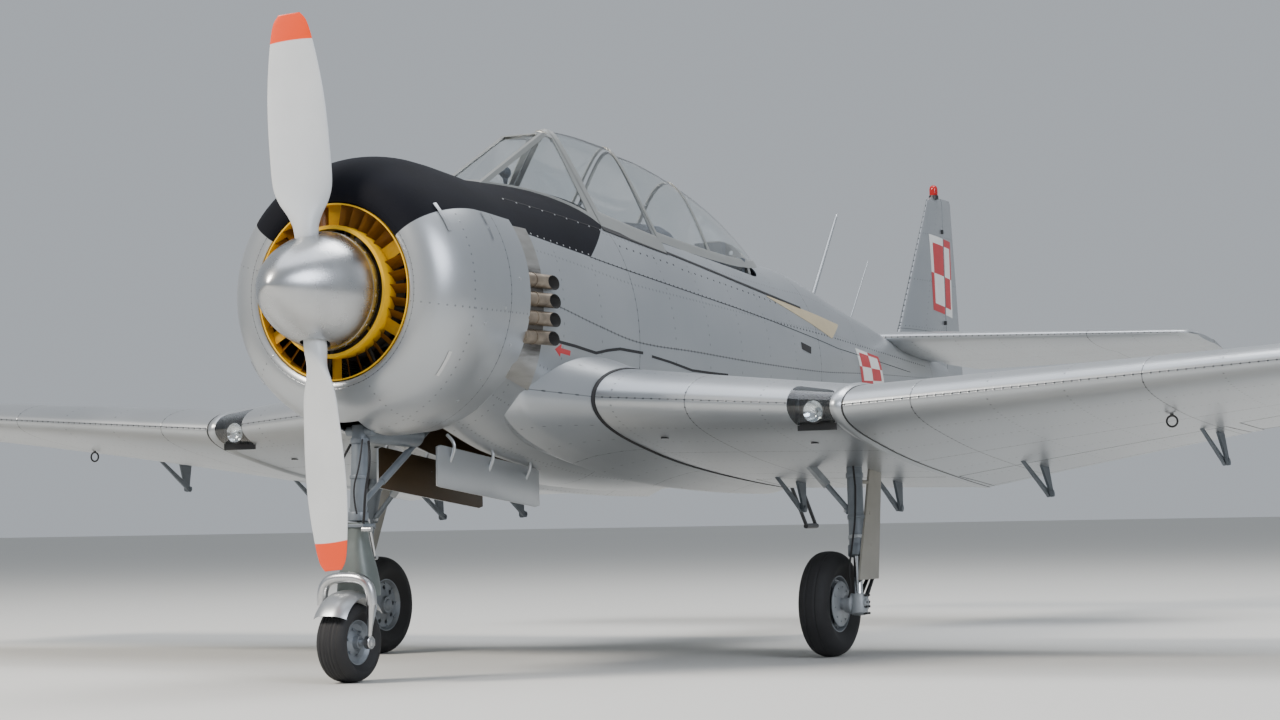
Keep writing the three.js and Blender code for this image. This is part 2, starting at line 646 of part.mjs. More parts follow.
const cabinLimit = cavityBody(FIREWALL + SKIN, 7350, SKIN + 1);
const floorSolid = join(floorPlate, rearWall, ...consoles, ...sticks).intersect(cabinLimit);
const wallHole = block(at(-200, floorTo - 20, 1700), at(200, floorTo + 10, 2010));
addPiece('cockpit_floor', cut(floorSolid, wallHole), finish('#5d666b', 0.7, 0.2));

function seat(station) {
  const z = COCKPIT.floorZ + SEAT_GAP;
  const pan = block(at(-215, station - 200, z), at(215, station + 200, z + 270));
  const well = block(at(-195, station - 180, z + 170), at(195, station + 190, z + 400));
  const back = bar(at(0, station + 195, z + 20), at(0, station + 300, z + 760), 430, 34);
  const rest = block(at(-85, station + 262, z + 740), at(85, station + 322, z + 860));
  return join(cut(pan, well), back, rest);
}
const SEATS = [['front_seat', 3010], ['rear_seat', 4150]];
for (const [name, station] of SEATS) addPiece(name, seat(station), finish('#6c7c86', 0.7, 0.15));

// Coaming: an arched hood over the instrument panel, cut from the fuselage's own top line
function coaming(from, to, topZ, halfWidth, panelZ, sillZ) {
  const arch = (inset, station, rise) => (
    archRing([station, halfWidth - inset, 1900 - inset, topZ - inset + rise], 0, 6)
  );
  const hood = loft([arch(0, from, 0), arch(0, to, 6)]);
  const shell = cut(hood, loft([arch(14, from + 12, 0), arch(14, to + 1, 6)]));
  const face = block(at(-halfWidth, from, panelZ), at(halfWidth, from + 12, topZ - 60)).intersect(hood);
  const plate = block(at(-400, from, panelZ), at(400, from + 12, sillZ)).intersect(insideOpening);
  return join(shell, face, plate);
}
const compass = join(ball(at(0, 2400, 2452), 29, 8), rod(at(0, 2400, 2380), at(0, 2400, 2440), 12, 8));
addPiece('front_coaming', coaming(2512, 2640, 2352, 270, 1910, 2250), finish('#3c4247', 0.8, 0.1));
addPiece('compass', cut(compass, fuselageBody(2300, 2509, SEAT_GAP)), finish('#4a555c', 0.5, 0.2));
addPiece('rear_coaming', coaming(3390, 3640, 2330, 262, 1910, 2172), finish('#566873', 0.75, 0.1));
const archOuter = (grow) => loft([4480, 4520].map((station) => (
  archRing([station, 244 + grow, 1960, 2312 + grow], 0, 8)
)));
const archRim = cut(archOuter(0), archOuter(-70).translate([0, 0, -30]).add(archOuter(-70)));
const archBeam = block(at(-400, 4488, 2076), at(400, 4500, 2104)).intersect(insideOpening);
addPiece('rear_arch', join(archRim, archBeam), finish('#aeb6ba', 0.5, 0.4));

// Canopy: each part is a frame of hoops and rails over one sheet of glazing

const glassDepth = GLAZING.frame + SEAT_GAP;
const half = GLAZING.hoop / 2;
function glazedHood(table, hoops, steps) {
  const sheet = (outer, inner) => cut(hoodBody(table, -outer, steps), hoodBody(table, -inner, steps, 40));
  const frameShell = sheet(0, GLAZING.frame);
  const slabs = hoops.map((station) => block(at(-500, station - half, 1800), at(500, station + half, 2900)));
  const railZone = fuselageBody(2300, 5400, GLAZING.rail);
  const frame = cut(frameShell.intersect(join(...slabs, railZone)), fuselageBody(2300, 5400, SEAT_GAP));
  const glass = cut(sheet(glassDepth, glassDepth + GLAZING.glass), fuselageBody(2300, 5400, RUN_GAP));
  return { frame, glass };
}
const frontHood = glazedHood(FRONT_HOOD, [2496 + half, 3168 - half], 3);
addPiece('front_hood_frame', frontHood.frame, silverPaint());
addPiece('front_hood_glass', frontHood.glass, clearGlass());
const rearHood = glazedHood(REAR_HOOD, [3176 + half, 3892, 4900 - half], 6);
addPiece('rear_hood_frame', rearHood.frame, silverPaint());
addPiece('rear_hood_glass', rearHood.glass, clearGlass());

// Windscreen: a flat front pane between two bars, side panes back to the first hoop
function windscreenBody(grow, past = 0) {
  const { foot, footZ, top, topZ, halfPane, rear } = WINDSCREEN;
  const side = 5;
  const across = 4;
  const faceted = (station, cornerZ, baseX, baseZ) => {
    const corner = [halfPane + grow * 0.8, cornerZ + grow];
    const base = [baseX + grow, baseZ];
    const points = [];
    for (let i = 0; i < side; i += 1) {
      const t = i / side;
      points.push([base[0] + (corner[0] - base[0]) * t, base[1] + (corner[1] - base[1]) * t]);
    }
    for (let i = 0; i <= across; i += 1) points.push([corner[0] - (2 * corner[0] * i) / across, corner[1]]);
    for (let i = side - 1; i >= 0; i -= 1) points.push([-points[i][0], points[i][1]]);
    return points.map(([x, z]) => at(x, station, z));
  };
  const [, halfWidth, footHeight, topHeight] = FRONT_HOOD[0];
  const arch = archRing([rear, halfWidth, footHeight - 120, topHeight], grow, (2 * side + across) / 2);
  const rings = [faceted(foot - 60, footZ - 30, 132, 2100), faceted(top, topZ, 300, 2085), arch];
  if (past) rings.push(arch.map((point) => point.clone().setY(rear + past)));
  return loft(rings);
}
const windscreenShell = (outer, inner) => cut(windscreenBody(-outer), windscreenBody(-inner, 30));
const onDeck = (body) => cut(body, fuselageBody(1300, 2600, SEAT_GAP));
const { top: paneTop, halfPane, rear: screenRear } = WINDSCREEN;
const screenBars = [-1, 1].map((side) => {
  const [a, b] = [side * (halfPane - 24), side * (halfPane + 14)].sort((p, q) => p - q);
  return block(at(a, 1400, 2200), at(b, paneTop + 20, 2900));
});
const screenZones = join(
  block(at(-500, screenRear - 44, 1900), at(500, screenRear + 1, 2900)),
  block(at(-halfPane - 12, paneTop - 6, 2500), at(halfPane + 12, paneTop + 26, 2900)),
  ...screenBars,
  fuselageBody(1300, 2600, 26),
);
addPiece('windscreen_frame', onDeck(windscreenShell(0, GLAZING.frame).intersect(screenZones)), silverPaint());
addPiece('windscreen_glass', onDeck(windscreenShell(glassDepth, glassDepth + GLAZING.glass)), clearGlass());

// Wing: inner panels with a recess for the split flap and the landing light, outer panels with ailerons

const OUTER_START = { ...WING_JOINT, x: WING_JOINT.x + SEAT_GAP };
const innerPanel = loft([wingRing({ ...WING_ROOT, x: WING_ROOT.x + SEAT_GAP }), wingRing(WING_JOINT)]);
const innerRow = (x) => between(WING_ROOT, WING_JOINT, x);
const wingUnder = (section, part, lift) => {
  const tilt = THREE.MathUtils.degToRad(section.incidence);
  const outline = aerofoil(section.thickness, section.camber, 40).slice(40);
  const [, up] = outline.reduce((best, point) => (Math.abs(point[0] - part) < Math.abs(best[0] - part) ? point : best));
  const rise = section.chord * up + lift;
  return at(
    section.x,
    section.station + section.chord * part * Math.cos(tilt) + rise * Math.sin(tilt),
    section.z - section.chord * part * Math.sin(tilt) + rise * Math.cos(tilt),
  );
};

// A slotted flap out of a wing panel, with arms in pairs: one from the wing's floor, one from the flap,
// side by side on the line of the pins. The outlines are [aft, up] from that line.
const FIXED_ARM = [[14, -6], [-8, -15], [-400, 212], [-308, 212], [-308, 176], [10, 10]];
const MOVING_ARM = [[15, -2], [-15, -2], [-150, 166], [-64, 166]];
function slottedFlap(panel, rowOf, { inner, outer, arms }) {
  const hinge = [inner, outer].map((x) => (
    wingUnder(rowOf(x), FLAP.fraction, 0).add(at(0, FLAP.aft, -FLAP.drop))));
  const split = splitAtHinge(panel, ...hinge, FLAP.radius, FLAP.reach, FLAP.sides);
  const way = hinge[1].clone().sub(hinge[0]).normalize();
  const aft = at(0, 1, 0).addScaledVector(way, -way.y).normalize();
  const up = way.clone().cross(aft);
  const arm = (x, outline, from, thick, bossFrom, bossThick) => {
    const foot = hinge[0].clone().addScaledVector(way, (x - hinge[0].x) / way.x);
    const place = new THREE.Matrix4().makeBasis(aft, up, way).setPosition(foot.clone().addScaledVector(way, from));
    const shape = new THREE.Shape(outline.map(([u, v]) => new THREE.Vector2(u, v)));
    const plate = new THREE.ExtrudeGeometry(shape, { depth: thick, bevelEnabled: false }).applyMatrix4(place);
    const boss = [bossFrom, bossFrom + bossThick].map((step) => foot.clone().addScaledVector(way, step));
    return join(solid(plate), rod(...boss, 17));
  };
  return {
    hinge,
    fixed: join(split.fixed, ...arms.map((x) => arm(x, FIXED_ARM, 0, 8, 0, 10))),
    moving: join(split.moving, ...arms.map((x) => arm(x, MOVING_ARM, 14, 8, 10 + SEAT_GAP, 12 - SEAT_GAP))),
  };
}
const lightBox = (grow, shift) => block(
  at(LANDING_LIGHT.inner - grow, 1700, 1000),
  at(LANDING_LIGHT.outer + grow, innerRow(LANDING_LIGHT.inner).station + LANDING_LIGHT.depth + grow + shift, 1500),
);
const panelInside = loft([
  wingRing({ ...WING_ROOT, x: WING_ROOT.x + SEAT_GAP }, LANDING_LIGHT.wall),
  wingRing(WING_JOINT, LANDING_LIGHT.wall),
]);
const lightLens = cut(
  innerPanel.intersect(lightBox(0, 0)),
  panelInside.intersect(lightBox(-LANDING_LIGHT.wall, 40)),
);
const innerFlap = slottedFlap(cut(innerPanel, lightBox(SEAT_GAP, 0)), innerRow, INNER_FLAP);

const outerPanel = loft([OUTER_START, WING_TIP, WING_END].map((section) => wingRing(section)));
const outerRow = (x) => between(OUTER_START, WING_TIP, x);
const aileronHinge = [AILERON.inner, AILERON.outer].map((x) => chordPoint(outerRow(x), AILERON.fraction));
const outerSplit = splitAtHinge(outerPanel, ...aileronHinge, AILERON.radius, AILERON.reach);
const outerFlap = slottedFlap(outerSplit.fixed, outerRow, OUTER_FLAP);
const hingeWay = aileronHinge[1].clone().sub(aileronHinge[0]).normalize();
const pinReach = RUN_GAP - SEAT_GAP;
const aileronPin = rod(
  aileronHinge[0].clone().addScaledVector(hingeWay, -pinReach),
  aileronHinge[1].clone().addScaledVector(hingeWay, pinReach),
  8,
);
const aileron = join(outerSplit.moving, aileronPin);

for (const [side, place] of [['port', (body) => body], ['starboard', mirrored]]) {
  addPiece(`inner_wing_${side}`, place(innerFlap.fixed), silverPaint());
  addPiece(`outer_wing_${side}`, place(outerFlap.fixed), silverPaint());
  addPiece(`aileron_${side}`, place(aileron), silverPaint());
  addPiece(`inner_flap_${side}`, place(innerFlap.moving), silverPaint());
  addPiece(`outer_flap_${side}`, place(outerFlap.moving), silverPaint());
  addPiece(`landing_light_${side}`, place(lightLens), clearGlass());
}

// Tail: stabiliser halves with elevators, fin with rudder and beacon

const tailHalf = loft([TAIL_ROOT, TAIL_TIP, TAIL_END].map((section) => wingRing(section)));
const tailAxisZ = (x) => {
  const section = between(TAIL_ROOT, TAIL_TIP, Math.min(x, TAIL_TIP.x));
  const tilt = THREE.MathUtils.degToRad(section.incidence);
  return section.z - (ELEVATOR.station - section.station) * Math.tan(tilt);
};
const elevatorZ = tailAxisZ((ELEVATOR.inner + TAIL_TIP.x) / 2);
const elevatorHinge = [ELEVATOR.inner, ELEVATOR.outer].map((x) => at(x, ELEVATOR.station, elevatorZ));
const tailSplit = splitAtHinge(tailHalf, ...elevatorHinge, ELEVATOR.radius, ELEVATOR.reach);
const tailHollow = loft([TAIL_ROOT, TAIL_TIP].map((section) => wingRing(section, HOLLOW_WALL)))
  .intersect(block(
    at(0, 6000, 1400),
    at(TAIL_TIP.x - 20, ELEVATOR.station - ELEVATOR.radius - 2 * RUN_GAP, 2200),
  ));
const cutOutShape = new THREE.Shape([
  new THREE.Vector2(0, ELEVATOR.station + 120),
  new THREE.Vector2(ELEVATOR.inner + 2, ELEVATOR.station + 120),
  new THREE.Vector2(ELEVATOR.inner + 210, 8400),
  new THREE.Vector2(0, 8400),
]);
const cutOutGeometry = new THREE.ExtrudeGeometry(cutOutShape, { depth: 900, bevelEnabled: false });
const cutOut = solid(cutOutGeometry.translate(0, 0, 1300));
const fuselageSide = fuselageBody(6300, 8130, SEAT_GAP);
const droop = (body) => body
  .translate([0, -ELEVATOR.station, -elevatorZ])
  .rotate([-ELEVATOR.droop, 0, 0])
  .translate([0, ELEVATOR.station, elevatorZ]);

function finRing({ z, station, chord, thickness }, grow = 0) {
  return aerofoil(thickness, 0).map(([along, up]) => at(
    chord * up + Math.sign(up) * grow,
    station - grow + (chord + 2 * grow) * along,
    z,
  ));
}
const finBody = (grow) => loft(FIN.map((row) => finRing(row, grow)));
const finHollow = loft(FIN.slice(0, 3).map((row) => finRing({
  ...row,
  station: row.station + 2 * HOLLOW_WALL,
  chord: row.chord - 2 * HOLLOW_WALL,
  thickness: row.thickness - (2 * HOLLOW_WALL) / row.chord,
}))).intersect(block(at(-100, 6000, 1500), at(100, RUDDER.station - RUDDER.radius - 2 * RUN_GAP, 2800)));
const dorsal = loft([
  [
    at(0, DORSAL.front, DORSAL.frontFoot),
    at(3, DORSAL.front + 6, DORSAL.frontFoot),
    at(3, DORSAL.front + 6, DORSAL.frontTop),
    at(-3, DORSAL.front + 6, DORSAL.frontTop),
    at(-3, DORSAL.front + 6, DORSAL.frontFoot),
  ],
  [
    at(0, DORSAL.rear - 40, DORSAL.foot),
    at(DORSAL.halfWidth, DORSAL.rear, DORSAL.foot),
    at(8, DORSAL.rear, DORSAL.topZ),
    at(-8, DORSAL.rear, DORSAL.topZ),
    at(-DORSAL.halfWidth, DORSAL.rear, DORSAL.foot),
  ],
]);
const rudderHinge = [at(0, RUDDER.station, RUDDER.foot), at(0, RUDDER.station, 2900)];
const finSplit = splitAtHinge(join(finBody(0), dorsal), ...rudderHinge, RUDDER.radius, RUDDER.reach);
const finFixed = cut(finSplit.fixed, fuselageSide, finHollow);
const tubeEnds = [30, ELEVATOR.inner + 20].map((x) => at(x, ELEVATOR.station, elevatorZ));
const torqueTube = cut(rod(...tubeEnds, 8), finBody(SEAT_GAP));
const halves = [['port', (body) => body], ['starboard', mirrored]];
for (const [side, place] of halves) {
  const finSpace = block(at(-10, 7690, 1500), at(ELEVATOR.inner + RUN_GAP, 8700, 2200));
  const fixed = cut(tailSplit.fixed, tailHollow, fuselageSide, finBody(SEAT_GAP), finSpace);
  addPiece(`tailplane_${side}`, place(fixed), silverPaint());
  addPiece(`elevator_${side}`, place(join(droop(cut(tailSplit.moving, cutOut)), torqueTube)), silverPaint());
}
addPiece('fin', finFixed, silverPaint());
const rudderPin = rod(
  at(0, RUDDER.station, RUDDER.foot - RUN_GAP + SEAT_GAP),
  at(0, RUDDER.station, RUDDER.foot + 5),
  8,
);
addPiece('rudder', join(finSplit.moving, rudderPin), silverPaint());

function beaconBody() {
  const { station, foot, radius, top } = BEACON;
  const profile = [[0, foot], [radius + 6, foot], [radius + 6, foot + 22], [radius, top - 30],
    [radius * 0.8, top - 12], [radius * 0.42, top - 2], [0, top]];
  const points = profile.map(([r, h]) => new THREE.Vector2(r, h));
  const geometry = new THREE.LatheGeometry(points, 14).rotateX(Math.PI / 2);
  return solid(geometry.translate(0, station, 0));
}
addPiece('beacon', beaconBody(), finish('#b3261c', 0.25, 0));


// Wheels

function tyreProfile(radius, width, rim) {
  const halfWidth = width / 2;
  const points = [[rim, -halfWidth * 0.62]];
  const shoulder = radius - rim;
  for (let i = 0; i <= 8; i += 1) {
    const angle = -Math.PI / 2 + (Math.PI * i) / 8;
    points.push([
      rim + shoulder * 0.42 + shoulder * 0.58 * Math.abs(Math.cos(angle)) ** 0.75,
      halfWidth * Math.sign(Math.sin(angle)) * Math.abs(Math.sin(angle)) ** 0.8,
    ]);
  }
  points.push([rim, halfWidth * 0.62], [rim, -halfWidth * 0.62]);
  return points;
}
function wheelHub(width, rim, bore, centre) {
  const w = width / 2;
  return turnedAcross([
    [bore, -w * 0.7], [bore + 24, -w * 0.6], [rim - 20, -w * 0.34], [rim - SEAT_GAP, -w * 0.6],
    [rim - SEAT_GAP, w * 0.6], [rim - 20, w * 0.34], [bore + 24, w * 0.6], [bore, w * 0.7],
    [bore, -w * 0.7],
  ], centre, WHEEL_SIDES);
}

const noseHubCentre = at(0, NOSE_WHEEL.station, NOSE_WHEEL.radius);
const AXLE_RADIUS = 16;
const noseTyreProfile = tyreProfile(NOSE_WHEEL.radius, NOSE_WHEEL.width, NOSE_WHEEL.rim);
addPiece('nose_tyre', turnedAcross(noseTyreProfile, noseHubCentre, WHEEL_SIDES), rubber());
const noseHub = wheelHub(NOSE_WHEEL.width, NOSE_WHEEL.rim, AXLE_RADIUS + 0.6, noseHubCentre);
addPiece('nose_hub', noseHub, finish('#4b5054', 0.5, 0.6));

// Nose leg: fixed cylinder with a bearer to the firewall, then the steered crown, fork and mudguard

const legTop = at(0, NOSE_LEG.topStation, NOSE_LEG.topZ);
const legFoot = at(0, NOSE_LEG.footStation, NOSE_LEG.footZ);
const legWay = legFoot.clone().sub(legTop).normalize();
const alongLeg = (distance) => legTop.clone().addScaledVector(legWay, distance);
const legLength = legTop.distanceTo(legFoot);
const bearer = join(
  bar(legTop, at(0, FIREWALL + 30, 1187), 62, 44),
  rod(at(-62, NOSE_LEG.topStation, NOSE_LEG.topZ), at(62, NOSE_LEG.topStation, NOSE_LEG.topZ), 30),
);
const aftOfFirewall = block(at(-100, FIREWALL - SEAT_GAP, 1000), at(100, FIREWALL + 100, 1300));
const legCylinder = rod(legTop, alongLeg(440), NOSE_LEG.radius, 20);
addPiece('nose_leg', cut(join(legCylinder, bearer), aftOfFirewall), legGrey());
const strutLow = at(0, 690, 783);
const strutTop = at(0, 1400, 1207);
const strutPin = bay.halfWidth - bay.wall - SEAT_GAP;
addPiece('nose_drag_strut', cut(
  join(
    rod(strutLow, strutTop, 13),
    rod(strutTop.clone().setX(-strutPin), strutTop.clone().setX(strutPin), 15),
  ),
  rod(legTop, legFoot, NOSE_LEG.radius + SEAT_GAP, 20),
), legGrey());

// The mudguard's section and the arc it covers, in degrees above the level line ahead of the axle
const GUARD = { radius: 228, wall: 3, halfWidth: 92, from: 30, to: 158 };
const crownTop = alongLeg(443.5);
const crownRings = [
  [0, 46, 46, 0],
  [80, 48, 48, 0],
  [130, 60, 56, 6],
  [200, 98, 66, 25],
  [275, 124, 74, 45],
  [335, 128, 80, 50],
];
function ellipseRing(centre, halfX, halfY, count = 16) {
  return Array.from({ length: count }, (_, i) => {
    const angle = (i / count) * TAU;
    return at(centre.x + halfX * Math.cos(angle), centre.y + halfY * Math.sin(angle), centre.z);
  });
}
const crown = loft(crownRings.map(([drop, halfX, halfY, back]) => ellipseRing(
  at(0, crownTop.y - drop * 0.07 - back, crownTop.z - drop), halfX, halfY)));
const forkX = 108;
const forkArc = [];
const archZ = 392;
forkArc.push(at(-forkX, NOSE_WHEEL.station, NOSE_WHEEL.radius - 6), at(-forkX, NOSE_WHEEL.station + 2, 290));
for (let i = 0; i <= 6; i += 1) {
  const angle = Math.PI - (Math.PI * i) / 6;
  forkArc.push(at(forkX * Math.cos(angle), NOSE_WHEEL.station + 8, archZ + 66 * Math.sin(angle)));
}
forkArc.push(at(forkX, NOSE_WHEEL.station + 2, 290), at(forkX, NOSE_WHEEL.station, NOSE_WHEEL.radius - 6));
const guardClear = (GUARD.radius + SEAT_GAP) / Math.cos(Math.PI / 40);
const crownHollow = turnedAcross([[0, -96], [guardClear, -96], [guardClear, 96], [0, 96]], noseHubCentre, 40);
const forkEyes = [[-122, -92], [92, 122]].map(([from, to]) => (
  turnedAcross([[0, from], [30, from], [30, to], [0, to]], noseHubCentre, 16)));
const noseAxleEnds = [-118, 118].map((x) => at(x, NOSE_WHEEL.station, NOSE_WHEEL.radius));
const noseAxle = rod(...noseAxleEnds, AXLE_RADIUS);
const towLugs = [[-TOW_LUG.face, -100], [100, TOW_LUG.face]].map(([from, to]) => block(
  at(from, NOSE_WHEEL.station - TOW_LUG.half, NOSE_WHEEL.radius - TOW_LUG.half),
  at(to, NOSE_WHEEL.station + TOW_LUG.half, NOSE_WHEEL.radius + TOW_LUG.half),
));
const forkParts = [cut(crown, crownHollow), tubeAlong(forkArc, 15, 8, 16), ...forkEyes, noseAxle, ...towLugs];
addPiece('nose_fork', join(...forkParts), finish('#b4b9bc', 0.3, 0.7));

function guardRing(degrees) {
  const angle = THREE.MathUtils.degToRad(degrees);
  const out = at(0, -Math.cos(angle), Math.sin(angle));
  const point = (radius, x) => noseHubCentre.clone().addScaledVector(out, radius).setX(x);
  const { radius, wall, halfWidth } = GUARD;
  return [
    point(radius - 34, halfWidth), point(radius - 8, halfWidth - 6), point(radius, halfWidth - 40),
    point(radius, 40 - halfWidth), point(radius - 8, 6 - halfWidth), point(radius - 34, -halfWidth),
    point(radius - 34, wall - halfWidth), point(radius - 10 - wall, 9 - halfWidth),
    point(radius - wall, 42 - halfWidth), point(radius - wall, halfWidth - 42),
    point(radius - 10 - wall, halfWidth - 9), point(radius - 34, halfWidth - wall),
  ];
}
const GUARD_STEPS = 9;
const guardRings = Array.from({ length: GUARD_STEPS + 1 }, (_, i) => guardRing(
  GUARD.from + ((GUARD.to - GUARD.from) * i) / GUARD_STEPS));
addPiece('mudguard', loft(guardRings, true), bareMetal());

// Nose bay doors, open, hanging from the bay's edges
for (const [side, sign] of [['port', 1], ['starboard', -1]]) {
  const hingeX = sign * (bay.halfWidth + 4);
  const lowX = sign * (bay.halfWidth + 22);
  const rows = [[1010, 1125, 908], [2085, 1010, 792]];
  const door = loft(rows.map(([station, topZ, footZ]) => [
    at(hingeX - 3, station, topZ), at(hingeX + 3, station, topZ),
    at(lowX + 3, station, footZ), at(lowX - 3, station, footZ),
  ]));
  addPiece(`nose_door_${side}`, cut(door, fuselageBody(FIREWALL, 2600, SEAT_GAP)), silverPaint());
}

// Main gear: raked leg, piston, knuckle and axle, side brace, torque links, leg door, wheel

const { footX, footStation, rakeX, rakeY } = MAIN_LEG;
const onLeg = (z) => {
  const rise = z - MAIN_WHEEL.radius;
  return at(footX + rakeX * rise, footStation + rakeY * rise, z);
};
const wheelCentre = at(MAIN_WHEEL.x, MAIN_WHEEL.station, MAIN_WHEEL.radius);
const floorRoot = { ...WING_ROOT, x: WING_ROOT.x + SEAT_GAP };
const wingFloor = loft([wingRing(floorRoot, -0.5), wingRing(WING_JOINT, -0.5)]);
const legBody = join(
  rod(onLeg(510), onLeg(1120), MAIN_LEG.radius, 12),
  rod(onLeg(505), onLeg(560), MAIN_LEG.radius + 7, 12),
  rod(onLeg(300), onLeg(520), MAIN_LEG.pistonRadius),
  rod(onLeg(214), onLeg(312), 43),
  rod(wheelCentre.clone().setX(footX + 20), wheelCentre.clone().setX(MAIN_WHEEL.x - 60), 22, 8),
  rod(wheelCentre.clone().setX(MAIN_WHEEL.x + 88), wheelCentre.clone().setX(footX - 20), 70, 16, 58),
);
const braceFoot = onLeg(735).add(at(-MAIN_LEG.radius + 4, -8, 0));
const braceTop = at(1205, 3050, 985);
const linkKnee = onLeg(420).add(at(0, 150, 10));
const links = join(
  bar(onLeg(548).add(at(0, 30, 0)), linkKnee, 36, 12),
  bar(onLeg(318).add(at(0, 26, 0)), linkKnee, 36, 12),
  rod(linkKnee.clone().add(at(-24, 0, 0)), linkKnee.clone().add(at(24, 0, 0)), 11, 8),
);
const brace = join(
  rod(braceFoot, braceTop, 14, 8),
  rod(braceFoot.clone().add(at(-6, 0, 0)), braceFoot.clone().add(at(40, 0, 0)), 20, 8),
);
const mainLeg = cut(join(legBody, brace, links), wingFloor);
const doorGap = MAIN_LEG.radius + 14;
const legDoorBody = (grow) => loft([372 - grow, 960 + grow].map((z) => {
  const { x, y } = onLeg(z).add(at(doorGap - grow, 26, 0));
  const reach = MAIN_LEG.doorHalf + grow;
  return [at(x, y - reach, z), at(x + 5 + grow, y - reach, z), at(x + 5 + grow, y + reach, z), at(x, y + reach, z)];
}));
const doorLugs = join(...[620, 860].map((z) => block(
  onLeg(z).add(at(MAIN_LEG.radius - 4, -22, -14)),
  onLeg(z).add(at(doorGap + 2, 22, 14)),
)));
const legWithLugs = join(mainLeg, cut(doorLugs, legDoorBody(SEAT_GAP), wingFloor));
const legDoor = cut(legDoorBody(0), wingFloor);
const mainTyreProfile = tyreProfile(MAIN_WHEEL.radius, MAIN_WHEEL.width, MAIN_WHEEL.rim);
const mainTyre = turnedAcross(mainTyreProfile, wheelCentre, WHEEL_SIDES);
const mainHub = wheelHub(MAIN_WHEEL.width, MAIN_WHEEL.rim, 22.6, wheelCentre);
for (const [side, place] of halves) {
  addPiece(`main_leg_${side}`, place(legWithLugs), legGrey());
  addPiece(`main_tyre_${side}`, place(mainTyre), rubber());
  addPiece(`main_hub_${side}`, place(mainHub), finish('#7d868c', 0.5, 0.5));
  addPiece(`leg_door_${side}`, place(legDoor), silverPaint());
}

// Boarding step on the port side of the rear fuselage
const stepLegs = [[4560, 4836], [4704, 4972]].map(([top, bottom]) => (
  rod(at(330, top, 1150), at(402, bottom, 652), 11, 8)
));
const tread = rod(at(402, 4825, 652), at(402, 4983, 652), 15, 8);
const stepBracket = rod(at(330, 4560, 1150), at(368, 4704, 890), 30, 8, 13);
const stepBody = cut(join(...stepLegs, stepBracket, tread), fuselageBody(4300, 5300, SEAT_GAP));
addPiece('boarding_step', stepBody, silverPaint());

export default aircraft;
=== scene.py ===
# %% [markdown]
# # Dressing a piston trainer aircraft
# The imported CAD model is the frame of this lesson: it says where every part of the aircraft is and
# which body it moves with. The cells below give each part its real surface. Places are given as on
# a drawing, in millimetres: to port, aft of the spinner's tip (the station) and above the ground.

# %% Load the frame
import math

import bmesh
import bpy
from mathutils import Matrix, Vector
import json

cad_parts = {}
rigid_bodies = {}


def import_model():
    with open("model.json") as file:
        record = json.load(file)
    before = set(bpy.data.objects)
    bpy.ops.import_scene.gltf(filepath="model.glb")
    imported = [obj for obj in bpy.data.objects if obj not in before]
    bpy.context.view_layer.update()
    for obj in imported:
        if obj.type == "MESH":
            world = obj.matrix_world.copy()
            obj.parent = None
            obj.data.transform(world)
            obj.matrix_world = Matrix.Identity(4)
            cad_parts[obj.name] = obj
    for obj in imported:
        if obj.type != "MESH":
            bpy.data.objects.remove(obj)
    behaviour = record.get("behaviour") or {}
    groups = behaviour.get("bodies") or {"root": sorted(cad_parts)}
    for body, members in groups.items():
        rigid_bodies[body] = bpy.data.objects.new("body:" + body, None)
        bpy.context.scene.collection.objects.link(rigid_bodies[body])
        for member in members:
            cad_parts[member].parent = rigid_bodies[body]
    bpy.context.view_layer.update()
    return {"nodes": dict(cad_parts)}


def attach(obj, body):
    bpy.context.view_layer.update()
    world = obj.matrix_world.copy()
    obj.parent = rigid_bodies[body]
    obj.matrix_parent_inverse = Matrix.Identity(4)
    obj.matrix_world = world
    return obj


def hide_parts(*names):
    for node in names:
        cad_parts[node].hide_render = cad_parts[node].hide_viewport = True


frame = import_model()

# %% [markdown]
# ## Camera
# The picture was taken low and close to the port side of the nose, with a long lens. A camera is
# best set from its own axes: where it looks, what is right and what is up, with a small roll.

# %% Camera
MM = 0.001  # the drawing is in millimetres and Blender in metres
FRAME_STATION = 4275  # the station of the frame's origin
PHOTO_WIDTH, FOCAL_PIXELS, SENSOR_WIDTH = 1280, 2744.26, 36
CAMERA_PLACE = (6.9011, -14.1325, 0.7252)


def spot(x, station, z):
    return Vector((x, station - FRAME_STATION, z)) * MM


yaw, pitch, roll = (math.radians(a) for a in (27.2629, 3.2631, -1.0656))
look = Vector((-math.sin(yaw) * math.cos(pitch), math.cos(yaw) * math.cos(pitch), math.sin(pitch)))
level = Vector((math.cos(yaw), math.sin(yaw), 0))
above = level.cross(look)
right = level * math.cos(roll) + above * math.sin(roll)
up = above * math.cos(roll) - level * math.sin(roll)
lens = bpy.data.cameras.new("camera")
lens.sensor_width = SENSOR_WIDTH
lens.lens = FOCAL_PIXELS / PHOTO_WIDTH * SENSOR_WIDTH
lens.clip_end = 500
camera = bpy.data.objects.new("camera", lens)
axes = Matrix((right, up, -look)).transposed()
camera.matrix_world = Matrix.Translation(CAMERA_PLACE) @ axes.to_4x4()
in_scene = bpy.context.scene.collection.objects
in_scene.link(camera)
bpy.context.scene.camera = camera
print("lens", round(lens.lens, 2), "mm")

# %% [markdown]
# ## Colours and nodes
# Colours are read as sRGB hex values, and Blender wants linear ones. A finish is a small tree of
# nodes. Most paints and metals here are two near tones of one colour, mixed by a soft cloud, as a
# real surface is never one flat colour.

# %% Colours and nodes
def linear(text):
    parts = [int(text[i:i + 2], 16) / 255 for i in (1, 3, 5)]
    return tuple(c / 12.92 if c <= 0.04045 else ((c + 0.055) / 1.055) ** 2.4 for c in parts) + (1,)


